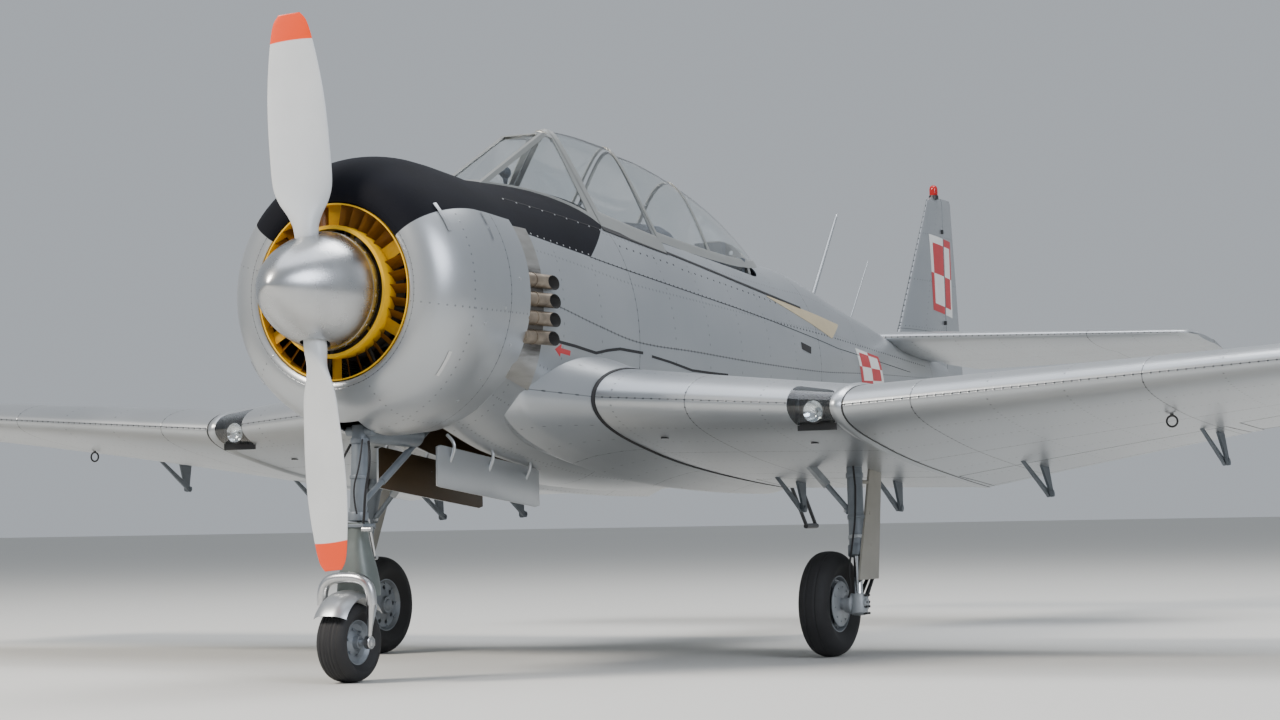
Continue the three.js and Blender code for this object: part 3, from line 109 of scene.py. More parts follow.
def feed(tree, node, values):
    for socket, value in values.items():
        if isinstance(value, bpy.types.NodeSocket):
            tree.links.new(value, node.inputs[socket])
        else:
            node.inputs[socket].default_value = value


def add(tree, kind, values=None, **settings):
    made = tree.nodes.new(kind)
    for key, value in settings.items():
        setattr(made, key, value)
    feed(tree, made, values or {})
    return made


def new_finish(name, slot=None):
    finish = bpy.data.materials.new(name)
    finish.use_nodes = True
    if slot:
        finish["slot"] = slot
    return finish, finish.node_tree, finish.node_tree.nodes["Principled BSDF"]


def two_tones(tree, low, high, scale, detail):
    where = add(tree, "ShaderNodeTexCoord").outputs["Object"]
    cloud = add(tree, "ShaderNodeTexNoise", {"Vector": where, "Scale": scale, "Detail": detail})
    share = cloud.outputs["Fac"]
    tone = add(tree, "ShaderNodeMix", {0: share, 6: linear(low), 7: linear(high)}, data_type="RGBA")
    return where, share, tone.outputs[2]


def painted(name, low, high, scale, detail, rough, metal=0.0, slot=None):
    finish, tree, shader = new_finish(name, slot)
    tone = two_tones(tree, low, high, scale, detail)[2]
    feed(tree, shader, {"Base Color": tone, "Roughness": rough, "Metallic": metal})
    return finish


print("finishes can be made")

# %% [markdown]
# ## Light and floor
# A plain pale floor and soft studio light. One large lamp stands where the sun was, ahead of the
# nose and high to starboard, so that curves read by shading. Weaker ones hang overhead, fill the
# port side and light the tail.

# %% Floor and lamps
sky = bpy.data.worlds.new("studio")
sky.use_nodes = True
feed(sky.node_tree, sky.node_tree.nodes["Background"], {"Color": linear("#dfe6ee"), "Strength": 0.6})
bpy.context.scene.world = sky


def lamp(name, place, aim, size, watts, colour="#ffffff"):
    light = bpy.data.lights.new(name, "AREA")
    light.shape, light.size, light.energy, light.color = "DISK", size, watts, linear(colour)[:3]
    stand = bpy.data.objects.new(name, light)
    way = Vector(aim) - Vector(place)
    stand.matrix_world = Matrix.Translation(place) @ way.to_track_quat("-Z", "Y").to_matrix().to_4x4()
    in_scene.link(stand)


lamp("sun_side", (-9, -16, 15), (0, -1, 1), 6, 5200, "#fff6ea")
lamp("overhead", (0, 0, 15), (0, 0, 0), 16, 1250, "#f2f6ff")
lamp("fill_side", (14, -9, 9), (0, 0, 1), 9, 1300, "#eef3ff")
lamp("tail_side", (3, 8, 19), (0, 2, 1), 9, 1900)

# Power-floated concrete: an even pale grey with a faint cloud, and no shine.
concrete, tree, shader = new_finish("pale_concrete")
grain = add(tree, "ShaderNodeTexNoise", {"Scale": 0.9, "Detail": 8.0, "Roughness": 0.65})
tone = add(tree, "ShaderNodeMix", {0: grain.outputs["Fac"], 6: linear("#c3c2bd"), 7: linear("#d3d2ce")},
           data_type="RGBA")
feed(tree, shader, {"Base Color": tone.outputs[2], "Roughness": 0.85})
floor_shape = bmesh.new()
bmesh.ops.create_grid(floor_shape, x_segments=2, y_segments=2, size=150)
floor_mesh = bpy.data.meshes.new("floor")
floor_shape.to_mesh(floor_mesh)
floor_shape.free()
floor_mesh.materials.append(concrete)
floor = bpy.data.objects.new("floor", floor_mesh)
in_scene.link(floor)
print("floor and lamps placed")

# %% [markdown]
# ## Workshop tools
# Most of the aircraft is sheet metal rolled to a curve. A flat grid is the natural start: it comes
# with its faces in order, so one rule that moves each of its points rolls it into a skin, and the
# same rule lays the map that rivets follow.

# %% Skins and sheets
THRUST_Z = 1765
HUB = spot(0, 0, THRUST_Z)
AFT, PORT, UP = Vector((0, 1, 0)), Vector((1, 0, 0)), Vector((0, 0, 1))
JOIN = 2e-6  # points nearer than this are one point


def row_at(table, place):
    i = 0
    while i < len(table) - 2 and place > table[i + 1][0]:
        i += 1
    before, a, b, after = (table[min(max(k, 0), len(table) - 1)] for k in (i - 1, i, i + 1, i + 2))
    run = b[0] - a[0]
    t = min(max((place - a[0]) / run, 0), 1)
    row = [place]
    for k in range(1, len(a)):
        m0 = run * (b[k] - before[k]) / (b[0] - before[0])
        m1 = run * (after[k] - a[k]) / (after[0] - a[0])
        row.append((2 * t ** 3 - 3 * t ** 2 + 1) * a[k] + (t ** 3 - 2 * t ** 2 + t) * m0
                   + (3 * t ** 2 - 2 * t ** 3) * b[k] + (t ** 3 - t ** 2) * m1)
    return row


def facing_out(bm):
    bmesh.ops.recalc_face_normals(bm, faces=bm.faces)
    return bm


def rolled(across, along, place, closed=False, ends=False):
    bm = bmesh.new()
    layer = bm.loops.layers.uv.new("Skin")
    bmesh.ops.create_grid(bm, x_segments=across, y_segments=along, size=0.5)
    known = {vert: place(vert.co.x + 0.5, vert.co.y + 0.5) for vert in bm.verts}
    for face in bm.faces:
        for corner in face.loops:
            corner[layer].uv = known[corner.vert][1]
    for vert, (point, _) in known.items():
        vert.co = point
    if closed:
        bmesh.ops.remove_doubles(bm, verts=bm.verts, dist=JOIN)
    if ends:
        bmesh.ops.holes_fill(bm, edges=[e for e in bm.edges if e.is_boundary], sides=0)
    return facing_out(bm)


def sheet(across, along, place, thickness):
    bm = rolled(across, along, place)
    bmesh.ops.solidify(bm, geom=bm.faces[:], thickness=thickness)
    return facing_out(bm)


print("thrust line at", tuple(HUB))

# %% [markdown]
# ## Cutting and joining
# Doorways, bays and slots are cut out of a finished skin, as on the real one. The Boolean modifier
# does that on closed shapes, and it also keeps only what two shapes share.

# %% Cutting and joining
def cut(shape, tool, operation="DIFFERENCE"):
    bodies = []
    for index, bm in enumerate((shape, tool)):
        mesh = bpy.data.meshes.new("work")
        for face in bm.faces:
            face.material_index = index if index else face.material_index
        bm.to_mesh(mesh)
        bm.free()
        for _ in range(2):
            mesh.materials.append(None)
        bodies.append(bpy.data.objects.new("work", mesh))
        in_scene.link(bodies[-1])
    step = bodies[0].modifiers.new("cut", "BOOLEAN")
    step.operation, step.object, step.solver = operation, bodies[1], "EXACT"
    made = bodies[0].evaluated_get(bpy.context.evaluated_depsgraph_get())
    result = bmesh.new()
    result.from_mesh(made.to_mesh())
    made.to_mesh_clear()
    for body in bodies:
        mesh = body.data
        bpy.data.objects.remove(body)
        bpy.data.meshes.remove(mesh)
    return result


def joined(*shapes):
    bm = bmesh.new()
    for shape in shapes:
        mesh = bpy.data.meshes.new("work")
        shape.to_mesh(mesh)
        shape.free()
        bm.from_mesh(mesh)
        bpy.data.meshes.remove(mesh)
    return bm


def bevelled(bm, edges, width, segments=2):
    bmesh.ops.bevel(bm, geom=edges, offset=width * MM, segments=segments, profile=0.5, affect="EDGES",
                    material=-1)


print("shapes can be cut")

# %% [markdown]
# ## Rods, boxes and turned parts
# Tubes, pins and bolts are short rods, plates are an outline drawn out to its thickness, and hubs,
# rings and domes are a section turned about its axis, as on a lathe.

# %% Solid shapes
def rod(start, end, radius, end_radius=None, sides=24, round_edge=0.0):
    way = end - start
    tip_radius = radius if end_radius is None else end_radius
    bm = bmesh.new()
    turn = way.to_track_quat("Z", "Y").to_matrix().to_4x4()
    bmesh.ops.create_cone(bm, cap_ends=True, segments=sides, radius1=radius * MM, radius2=tip_radius * MM,
                          depth=way.length, matrix=Matrix.Translation((start + end) / 2) @ turn)
    if round_edge:
        rims = [e for e in bm.edges if any(len(f.verts) > 4 for f in e.link_faces)]
        bevelled(bm, rims, round_edge)
    return bm


def box(low, high, round_edge=0.0):
    bm = bmesh.new()
    size = Matrix.Diagonal((*(high - low), 1))
    bmesh.ops.create_cube(bm, size=1, matrix=Matrix.Translation((low + high) / 2) @ size)
    if round_edge:
        bevelled(bm, bm.edges[:], round_edge)
    return facing_out(bm)


def turned(profile, centre, axis, steps=64, side=UP):
    bm = bmesh.new()
    dots = [bm.verts.new(centre + axis * along * MM + side * radius * MM) for radius, along in profile]
    wires = [bm.edges.new(pair) for pair in zip(dots, dots[1:])]
    bmesh.ops.spin(bm, geom=dots + wires, cent=centre, axis=axis, angle=math.tau, steps=steps, use_merge=True)
    bmesh.ops.remove_doubles(bm, verts=bm.verts, dist=1e-6)
    return facing_out(bm)


def drawn_out(outline, way):
    bm = bmesh.new()
    face = bm.faces.new([bm.verts.new(point) for point in outline])
    made = bmesh.ops.extrude_face_region(bm, geom=[face])["geom"]
    bmesh.ops.translate(bm, verts=[v for v in made if isinstance(v, bmesh.types.BMVert)], vec=way)
    return facing_out(bm)


def clock(angle):
    return Vector((math.sin(angle), 0, math.cos(angle)))


def ring_of(count, make, start=0.0):
    return [make(start + math.tau * i / count) for i in range(count)]


print("solid shapes can be made")

# %% [markdown]
# ## Showing a piece
# A shape becomes a piece when it gets its name and its finish, rides the body that it moves with
# and stands for the frame's own solid. Pieces of the port side are shown twice, once as a mirror
# image.

# %% Showing a piece
def show(bm, name, body, *finishes, replaces=(), crease=32, mirror=False):
    if mirror:
        bmesh.ops.scale(bm, vec=(-1, 1, 1), verts=bm.verts)
        bmesh.ops.reverse_faces(bm, faces=bm.faces)
    mesh = bpy.data.meshes.new(name)
    bm.to_mesh(mesh)
    bm.free()
    for finish in finishes:
        mesh.materials.append(finish)
    mesh.shade_smooth()
    mesh.set_sharp_from_angle(angle=math.radians(crease))
    piece = bpy.data.objects.new(name, mesh)
    in_scene.link(piece)
    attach(piece, body)
    if replaces:
        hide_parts(*replaces)
    "slot" in finishes[0]
    return piece


def show_pair(bm, name, body, *finishes, stands_for=None):
    for side, mirror in (("port", False), ("starboard", True)):
        replaced = [f"{stands_for}_{side}"] if stands_for else ()
        show(bm.copy(), f"{name}_{side}", body.format(side=side), *finishes, replaces=replaced, mirror=mirror)
    bm.free()


print("pieces can be shown")

# %% [markdown]
# ## Finish: silver enamel over riveted sheet
# The airframe is aluminium sheet sprayed with aluminium-pigmented enamel: a satin grey that is half
# metal to the eye. Flush rivets 5 mm across sit every 25 mm along hoops and stringers, and the sheets
# meet in fine dark seams. They are drawn here 12 mm across every 40 mm, the least that still shows.

# %% Silver enamel
RIVET_PITCH, SILVER_METAL = 0.04, 0.78


def in_cell(tree, skin, wide, high, kind):
    edge = Vector((wide / 2, high / 2, 1))
    cell = add(tree, "ShaderNodeVectorMath", {0: skin, 1: edge, 2: -edge}, operation="WRAP")
    return add(tree, "ShaderNodeVectorMath", {0: cell.outputs[0]}, operation=kind)


def riveted(tree, hoops, stringers, seams, colour, height):
    skin = add(tree, "ShaderNodeUVMap", uv_map="Skin").outputs[0]
    on_hoop = in_cell(tree, skin, hoops, RIVET_PITCH, "LENGTH").outputs["Value"]
    on_stringer = in_cell(tree, skin, RIVET_PITCH, stringers, "LENGTH").outputs["Value"]
    near = add(tree, "ShaderNodeMath", {0: on_hoop, 1: on_stringer}, operation="MINIMUM")
    head = add(tree, "ShaderNodeMapRange", {"Value": near.outputs[0], "From Min": 0.0065, "From Max": 0.0035})
    size = in_cell(tree, skin, *seams, "ABSOLUTE")
    parts = add(tree, "ShaderNodeSeparateXYZ", {0: size.outputs[0]})
    line = add(tree, "ShaderNodeMath", {0: parts.outputs[0], 1: parts.outputs[1]}, operation="MINIMUM")
    seam = add(tree, "ShaderNodeMapRange", {"Value": line.outputs[0], "From Min": 0.0035, "From Max": 0.0015})
    shade = add(tree, "ShaderNodeMath", {0: seam.outputs[0], 1: 0.6}, operation="MULTIPLY")
    dot = add(tree, "ShaderNodeMath", {0: head.outputs[0], 1: 0.5, 2: shade.outputs[0]},
              operation="MULTIPLY_ADD")
    dark = add(tree, "ShaderNodeMix", {0: dot.outputs[0], 6: colour, 7: linear("#4c4f52")}, data_type="RGBA")
    raised = add(tree, "ShaderNodeMath", {0: head.outputs[0], 1: 3.0, 2: height}, operation="MULTIPLY_ADD")
    sunk = add(tree, "ShaderNodeMath", {0: seam.outputs[0], 1: -5.0, 2: raised.outputs[0]},
               operation="MULTIPLY_ADD")
    return dark.outputs[2], sunk.outputs[0]


def silver_enamel(name, hoops=None, stringers=None, seams=None, patch=None, tones=("#a2a6aa", "#bcbfc1")):
    finish, tree, shader = new_finish(name, "silver_paint")
    where, cloud, colour = two_tones(tree, *tones, 1.7, 6.0)
    fine = add(tree, "ShaderNodeTexNoise", {"Vector": where, "Scale": 260.0, "Detail": 2.0})
    height = fine.outputs["Fac"]
    if hoops:
        colour, height = riveted(tree, hoops, stringers, seams, colour, height)
    satin = add(tree, "ShaderNodeMapRange", {"Value": cloud, "To Min": 0.27, "To Max": 0.38})
    rough, metal, sheen = satin.outputs[0], SILVER_METAL, 0.5
    if patch:
        colour, rough, metal = patch(tree, where, colour, rough)
        dulled = add(tree, "ShaderNodeMapRange",
                     {"Value": metal, "From Max": SILVER_METAL, "To Min": 0.12, "To Max": 0.5})
        sheen = dulled.outputs[0]
    bump = add(tree, "ShaderNodeBump", {"Height": height, "Strength": 0.35, "Distance": 0.0006})
    feed(tree, shader, {"Base Color": colour, "Roughness": rough, "Metallic": metal,
                        "Specular IOR Level": sheen, "Normal": bump.outputs[0]})
    return finish


silver_wing = silver_enamel("silver_enamel_wing", 0.36, 0.24, (1.08, 0.72))
silver_tail = silver_enamel("silver_enamel_tail", 0.28, 0.2, (1.4, 3.0))
silver_plain = silver_enamel("silver_enamel_plain")
print("silver enamel ready")

# %% [markdown]
# ## Finish: matte anti-glare paint
# The top of the cowl and the deck ahead of the windscreen carry a flat charcoal enamel, so that the
# sun doesn't glare into the cockpit. It is sprayed over the silver, so the same skin shows both: a
# mask worked out from the place on the aircraft decides which one a point has.

# %% Masks for the sprayed areas
DECK_Y, DECK_Z, DECK_FALL, DECK_RAKE = -2.158, 2.017, 0.085, 1.9


def clear_of(tree, value, edge, soft=0.002):
    made = add(tree, "ShaderNodeMapRange", {"Value": value, "From Min": edge - soft, "From Max": edge + soft})
    return made.outputs[0]


def matte_over(tree, where, mask, colour, rough):
    spray = add(tree, "ShaderNodeTexNoise", {"Vector": where, "Scale": 6.0, "Detail": 5.0})
    low, high = linear("#0a0b11"), linear("#13151d")
    charcoal = add(tree, "ShaderNodeMix", {0: spray.outputs["Fac"], 6: low, 7: high}, data_type="RGBA")
    over = add(tree, "ShaderNodeMix", {0: mask, 6: colour, 7: charcoal.outputs[2]}, data_type="RGBA")
    dull = add(tree, "ShaderNodeMix", {0: mask, 2: rough, 3: 0.75})
    metal = add(tree, "ShaderNodeMapRange", {"Value": mask, "To Min": SILVER_METAL, "To Max": 0.0})
    return over.outputs[2], dull.outputs[0], metal.outputs[0]


def cowl_patch(tree, where, colour, rough):
    place = add(tree, "ShaderNodeSeparateXYZ", {0: where})
    rise = add(tree, "ShaderNodeMath", {0: place.outputs[2], 1: THRUST_Z * MM}, operation="SUBTRACT")
    side = add(tree, "ShaderNodeMath", {0: place.outputs[0], 1: -0.02}, operation="ADD")
    angle = add(tree, "ShaderNodeMath", {0: side.outputs[0], 1: rise.outputs[0]}, operation="ARCTAN2")
    wide = add(tree, "ShaderNodeMath", {0: angle.outputs[0]}, operation="ABSOLUTE")
    on_top = add(tree, "ShaderNodeMapRange", {"Value": wide.outputs[0], "From Min": 0.945, "From Max": 0.94})
    return matte_over(tree, where, on_top.outputs[0], colour, rough)


def deck_patch(tree, where, colour, rough):
    place = add(tree, "ShaderNodeSeparateXYZ", {0: where})
    low = add(tree, "ShaderNodeMath", {0: place.outputs[1], 1: DECK_FALL, 2: place.outputs[2]},
              operation="MULTIPLY_ADD")
    above_line = clear_of(tree, low.outputs[0], DECK_Z + DECK_FALL * DECK_Y)
    back = add(tree, "ShaderNodeMath", {0: place.outputs[2], 1: -DECK_RAKE, 2: place.outputs[1]},
               operation="MULTIPLY_ADD")
    behind = clear_of(tree, back.outputs[0], DECK_Y - DECK_RAKE * DECK_Z)
    ahead = add(tree, "ShaderNodeMath", {0: 1.0, 1: behind}, operation="SUBTRACT")
    mask = add(tree, "ShaderNodeMath", {0: above_line, 1: ahead.outputs[0]}, operation="MULTIPLY")
    return matte_over(tree, where, mask.outputs[0], colour, rough)


silver_hull = silver_enamel("silver_enamel_hull", 0.42, 0.22, (2.52, 9.0), deck_patch)
silver_cowl = silver_enamel("silver_enamel_cowl", 0.31, 0.62, (0.62, 9.0), cowl_patch)
print("matte areas masked")

# %% [markdown]
# ## Fuselage
# The hull is a stressed skin over frames, wide at the cockpit and drawn out to a knife edge at the
# rudder. A few stations from the drawing are joined by a smooth curve, and a grid is rolled round
# them. The cabin and the wheel bay are cut afterwards, as they are on the real one.

# %% Fuselage skin
# station, half width, belt height, top, bottom
HULL = [[1185, 590, 1765, 2372, 1150], [1550, 560, 1745, 2380, 1040], [2050, 535, 1670, 2398, 955],
        [2490, 525, 1610, 2385, 900], [3180, 520, 1590, 2321, 868], [3850, 505, 1570, 2270, 885],
        [4700, 455, 1560, 2218, 985], [5150, 422, 1562, 2200, 1060], [5890, 345, 1585, 2062, 1200],
        [6500, 275, 1600, 1958, 1310], [7010, 215, 1610, 1862, 1400], [7600, 145, 1625, 1800, 1490],
        [8130, 62, 1645, 1745, 1575]]
BELLY_BEND = 0.88  # below the belt a section is a little fuller than an ellipse


def power(value, exponent):
    return math.copysign(abs(value) ** exponent, value)


def hull_point(station, angle, grow=0.0):
    _, half, belt, top, bottom = row_at(HULL, station)
    c, s = math.cos(angle), math.sin(angle)
    bend, rise = (1.0, top - belt) if s >= 0 else (BELLY_BEND, belt - bottom)
    return spot((half + grow) * power(c, bend), station, belt + (rise + grow) * power(s, bend))


def hull(first, last, grow, across=96, along=110):
    def place(s, t):
        station = first + (last - first) * t
        angle = -math.pi / 2 + math.tau * s
        return hull_point(station, angle, grow), (station * MM, angle * 0.55)
    return rolled(across, along, place, closed=True, ends=True)


def prism(corners, low, high, radius=0.0, rounded=()):
    bm = drawn_out([spot(x, station, low) for x, station in corners], UP * (high - low) * MM)
    if radius:
        columns = [spot(*corners[k], low) for k in rounded]
        picked = [e for e in bm.edges if abs(e.verts[0].co.z - e.verts[1].co.z) > 0.01
                  and any((e.verts[0].co - foot).xy.length < 1e-4 for foot in columns)]
        bevelled(bm, picked, radius, 10)
    return facing_out(bm)


# Brushed cockpit enamel: a mid grey, half matt, that has aged in patches.
interior = painted("interior_grey_enamel", "#4d545c", "#626a72", 9.0, 6.0, 0.55, slot="cockpit_paint")
CABIN_HALF, BAY_HALF = 292, 150
cabin = [(-CABIN_HALF, 2510), (CABIN_HALF, 2510), (CABIN_HALF, 4600), (-CABIN_HALF, 4600)]
bay = [(-BAY_HALF, 1202), (BAY_HALF, 1202), (BAY_HALF, 2090), (-BAY_HALF, 2090)]
skin = cut(hull(1186, 8130, 0), hull(1195, 7350, -10, 72, 60))
skin = cut(skin, prism(cabin, 1900, 2600, 190, (2, 3)))
skin = cut(skin, prism(bay, 700, 1340))
show(skin, "fuselage_skin", "airframe", silver_hull, interior, replaces=["fuselage"])
print("fuselage skin cut")

# %% [markdown]
# ## Aerials
# A short mast carries the radio aerial behind the cabin, with a thin whip after it. Both are
# tapered rods that stand on a small foot.

# %% Aerials
# Sprayed gloss enamel on fittings: near black, with a soft shine.
black_paint = painted("black_enamel", "#1b1c1e", "#2a2b2d", 30.0, 4.0, 0.42)
# foot station and height, tip station and height, foot radius, tip radius
AERIALS = ((5882, 2045, 6318, 2622, 14, 9), (6318, 2622, 6330, 2638, 8, 3), (6490, 1945, 6837, 2376, 6, 4),
           (6480, 1935, 6502, 1978, 14, 9), (5866, 2040, 5896, 2074, 24, 15))
aerials = [rod(spot(0, a, b), spot(0, c, d), wide, narrow) for a, b, c, d, wide, narrow in AERIALS]
show(joined(*aerials), "aerials", "airframe", silver_plain)
print("aerials made")

# %% [markdown]
# ## Wings
# The wing is a riveted box with a rounded nose. Each station is the same kind of aerofoil, given by
# its nose point, chord, twist, thickness and camber. Slots for the flaps and the ailerons are round
# at the hinge, so the cutters are turned about the real hinge lines, a little larger than the piece.

# %% Sections of the wing
# across the span, nose station, nose height, chord, twist in degrees, thickness, camber
ROOT = (640, 1800, 1306, 2290, 11, 0.17, 0.027)
JOINT = (1827, 2049, 1232, 2021, 11, 0.14, 0.027)
TIP = (5130, 2385, 1455, 1330, 4.2, 0.12, 0.02)
END = (5250, 2590, 1457, 860, 4.2, 0.05, 0.01)
FILLET = [(0, 1360, 1400, 2700, 9.5, 0.165, 0.02), (220, 1340, 1370, 2930, 9.5, 0.178, 0.02),
          (380, 1330, 1345, 3060, 9.5, 0.19, 0.02), (470, 1400, 1340, 2900, 9.8, 0.18, 0.024),
          (560, 1610, 1322, 2560, 10.5, 0.172, 0.026), ROOT]


def foil(fraction, side, thickness, camber):
    t = min(max(fraction, 0.0), 1.0)
    half = 5 * thickness * (0.2969 * t ** 0.5 - 0.126 * t - 0.3516 * t * t + 0.2843 * t ** 3
                            - 0.1036 * t ** 4)
    mean = camber * ((0.6 * t - t * t) / 0.09 if t < 0.3 else (0.4 + 0.6 * t - t * t) / 0.49)
    return mean + side * half


def foil_point(row, fraction, side):
    x, station, z, chord, twist, thickness, camber = row
    rise, a = foil(fraction, side, thickness, camber), math.radians(twist)
    return spot(x, station + chord * (fraction * math.cos(a) + rise * math.sin(a)),
                z + chord * (rise * math.cos(a) - fraction * math.sin(a)))


def blend_rows(a, b, t):
    return tuple(m + (n - m) * t for m, n in zip(a, b))


def between(rows, x):
    for a, b in zip(rows, rows[1:]):
        if x <= b[0]:
            return blend_rows(a, b, (x - a[0]) / (b[0] - a[0]))
    return rows[-1]


NOSE_RUN = 1.48  # how much of a section's thickness the skin adds to its length round the nose


def panel(rows, first, last, along=40, across=80, squeeze=1.0):
    def place(s, t):
        row = between(rows, first + (last - first) * (1 - (1 - t) ** squeeze))
        turn = math.tau * s
        fraction = (1 + math.cos(turn)) / 2
        mean_chord = MM * (rows[0][3] + rows[-1][3]) / 2
        side = 1 if s < 0.5 else -1
        skin_run = mean_chord * math.sqrt(fraction ** 2 + (NOSE_RUN * row[5]) ** 2 * fraction)
        return foil_point(row, fraction, side), (row[0] * MM, side * skin_run)
    return rolled(across, along, place, closed=True, ends=True)


print("wing sections ready")

# %% [markdown]
# ## Wing panels, flaps and ailerons
# A panel is rolled whole, and a keyhole-shaped cutter, a rod with a slab behind it, is then used
# twice: what it shares with the panel is the flap, and a larger one cut away leaves the slot.

# %% Wing panels
def keyhole(start, end, radius, reach, sides=48):
    way = end - start
    along = way.normalized()
    turn = Matrix((along, AFT, along.cross(AFT))).transposed().to_4x4()
    size = Matrix.Diagonal((way.length, reach * MM, 2 * radius * MM, 1))
    middle = Matrix.Translation((start + end) / 2 + AFT * reach * MM / 2)
    slot = bmesh.new()
    bmesh.ops.create_cube(slot, size=1, matrix=middle @ turn @ size)
    return cut(rod(start, end, radius, sides=sides), slot, "UNION")


def chord_point(rows, x, fraction):
    row = between(rows, x)
    return (foil_point(row, fraction, 1) + foil_point(row, fraction, -1)) / 2


def flap_hinge(rows, first, last):
    drop = Vector((0, 0.230, -0.160))
    return [foil_point(between(rows, x), HINGE_PART, -1) + drop for x in (first, last)]


def flap_tool(rows, first, last, grow):
    a, b = flap_hinge(rows, first, last)
    way = (b - a).normalized() * grow * MM
    return keyhole(a - way, b + way, FLAP_RADIUS + grow, 900, 72)


HINGE_PART = 0.76  # the share of the chord that lies ahead of flaps and ailerons
FLAP_RADIUS, FLAP_GAP = 280, 6
AILERON_FROM, AILERON_TO, AILERON_RADIUS, AILERON_REACH = 3350, 5020, 74, 600
TIP_RUN = 120  # the tip is rounded over this much of the span
tip_turns = [math.pi / 16 * k for k in range(9)]
tip_rows = [(TIP[0] + TIP_RUN * math.sin(a), *blend_rows(TIP, END, 1 - math.cos(a))[1:]) for a in tip_turns]
inner_rows, outer_rows = [ROOT, JOINT], [JOINT, *tip_rows]
inner_span, outer_span = (inner_rows, 700, 1790), (outer_rows, 1880, 3300)
inner_panel = panel(inner_rows, 641, 1826)
outer_panel = panel(outer_rows, 1834, 5249.9, 100, squeeze=1.5)
inner_flap = cut(inner_panel.copy(), flap_tool(*inner_span, 0), "INTERSECT")
inner_wing = cut(inner_panel, flap_tool(*inner_span, FLAP_GAP))
outer_flap = cut(outer_panel.copy(), flap_tool(*outer_span, 0), "INTERSECT")
hinge = [chord_point(outer_rows, x, HINGE_PART) for x in (AILERON_FROM, AILERON_TO)]
aileron = cut(outer_panel.copy(), keyhole(*hinge, AILERON_RADIUS, AILERON_REACH), "INTERSECT")
outer_wing = cut(outer_panel, flap_tool(*outer_span, FLAP_GAP))
spare = (hinge[1] - hinge[0]).normalized() * 0.006
outer_wing = cut(outer_wing, keyhole(hinge[0] - spare, hinge[1] + spare, 80, AILERON_REACH, 42))
print("wing panels cut", len(inner_wing.faces), len(outer_wing.faces))

# %% [markdown]
# ## Flap arms
# Each flap hangs on two plate arms below the wing, and turns about a pin that is under and behind
# its slot. A plate is its outline drawn out, with the sharp edges taken off.

# %% Flap arms
FIXED_ARM = [(14, -6), (-8, -15), (-400, 212), (-308, 212), (-308, 176), (10, 10)]
MOVING_ARM = [(16, -10), (-16, -10), (-110, 170), (10, 170)]


def plate(corners, origin, way, low, high):
    rise = way.cross(AFT).normalized()
    if rise.z < 0:
        rise = -rise
    outline = [origin + way * low * MM + AFT * a * MM + rise * u * MM for a, u in corners]
    bm = drawn_out(outline, way * (high - low) * MM)
    bevelled(bm, bm.edges[:], 1, 1)
    return bm


def arms(rows, first, last, places, moving):
    a, b = flap_hinge(rows, first, last)
    way = (b - a).normalized()
    shapes = []
    for x in places:
        origin = a + (b - a) * ((x - first) / (last - first))
        if moving:
            shapes.append(plate(MOVING_ARM, origin, way, 10.5, 24.5))
            shapes.append(rod(origin + way * 0.0103, origin + way * 0.028, 19, sides=32, round_edge=1))
        else:
            shapes.append(plate(FIXED_ARM, origin, way, -8, 8))
            shapes.append(rod(origin - way * 0.009, origin + way * 0.009, 17, sides=32, round_edge=1))
            shapes.append(rod(origin - way * 0.014, origin + way * 0.0235, 7, sides=16))
    return joined(*shapes)


def cover_outline(half, front, end):
    return [(1670 - half, front), (1670 + half, front), (1670 + half, end), (1670 - half, end)]


light_hole = prism(cover_outline(102, 1800, 2122), 900, 1500, 30, (2, 3))
inner_wing = cut(inner_wing, light_hole)
INNER_ARMS, OUTER_ARMS = (860, 1410), (2250, 3190)
for name, span, places, wing, flap in (("inner", inner_span, INNER_ARMS, inner_wing, inner_flap),
                                       ("outer", outer_span, OUTER_ARMS, outer_wing, outer_flap)):
    for shape, kind, body in ((wing, "wing", "airframe"), (flap, "flap", name + "_flap_{side}")):
        show_pair(shape, f"{name}_{kind}_skin", body, silver_wing, stands_for=f"{name}_{kind}")
        show_pair(arms(*span, places, kind == "flap"), f"{name}_{kind}_arms", body, interior)
show_pair(aileron, "aileron_skin", "aileron_{side}", silver_wing, stands_for="aileron")
print("wings and flaps made")

# %% [markdown]
# ## Landing lights
# The landing light is a lamp in a dark box in the wing's nose, behind a clear curved sheet. The
# sheet is cut from the wing's own section, and a slightly smaller section hollows it.

# %% Landing lights
cover_zone = prism(cover_outline(101.6, 1800, 2121.6), 900, 1500, 30, (2, 3))
clear_rows = [(r[0], r[1] + 4, r[2] - 0.8, r[3] - 8, r[4], r[5] - 0.004, r[6]) for r in inner_rows]
lens_cover = cut(panel(inner_rows, 1560, 1780, 12), cover_zone, "INTERSECT")
lens_cover = cut(lens_cover, panel(clear_rows, 1550, 1790, 12))

# Cast acrylic sheet: clear, hardly tinted and very smooth.
clear_sheet, tree, shader = new_finish("cast_acrylic_sheet", "canopy_glass")
tone = two_tones(tree, "#eef3f4", "#ffffff", 3.0, 5.0)[2]
feed(tree, shader, {"Base Color": tone, "Roughness": 0.03, "IOR": 1.45, "Transmission Weight": 1.0})

# Flat black paint inside the well: it lets the lamp alone be seen.
# The same dark finish is also painted shade: it fills the drain holes under the wing.
dark_well_and_hole_shade = painted("dark_lamp_well_and_hole_shade", "#17181a", "#2b2c2e", 20.0, 4.0, 0.7)


def bright_metal(name, colour, scale, detail, smoothest, roughest):
    finish, tree, shader = new_finish(name)
    _, film, tone = two_tones(tree, colour, colour, scale, detail)
    rough = add(tree, "ShaderNodeMapRange", {"Value": film, "To Min": smoothest, "To Max": roughest})
    feed(tree, shader, {"Base Color": tone, "Roughness": rough.outputs[0], "Metallic": 1.0})
    return finish


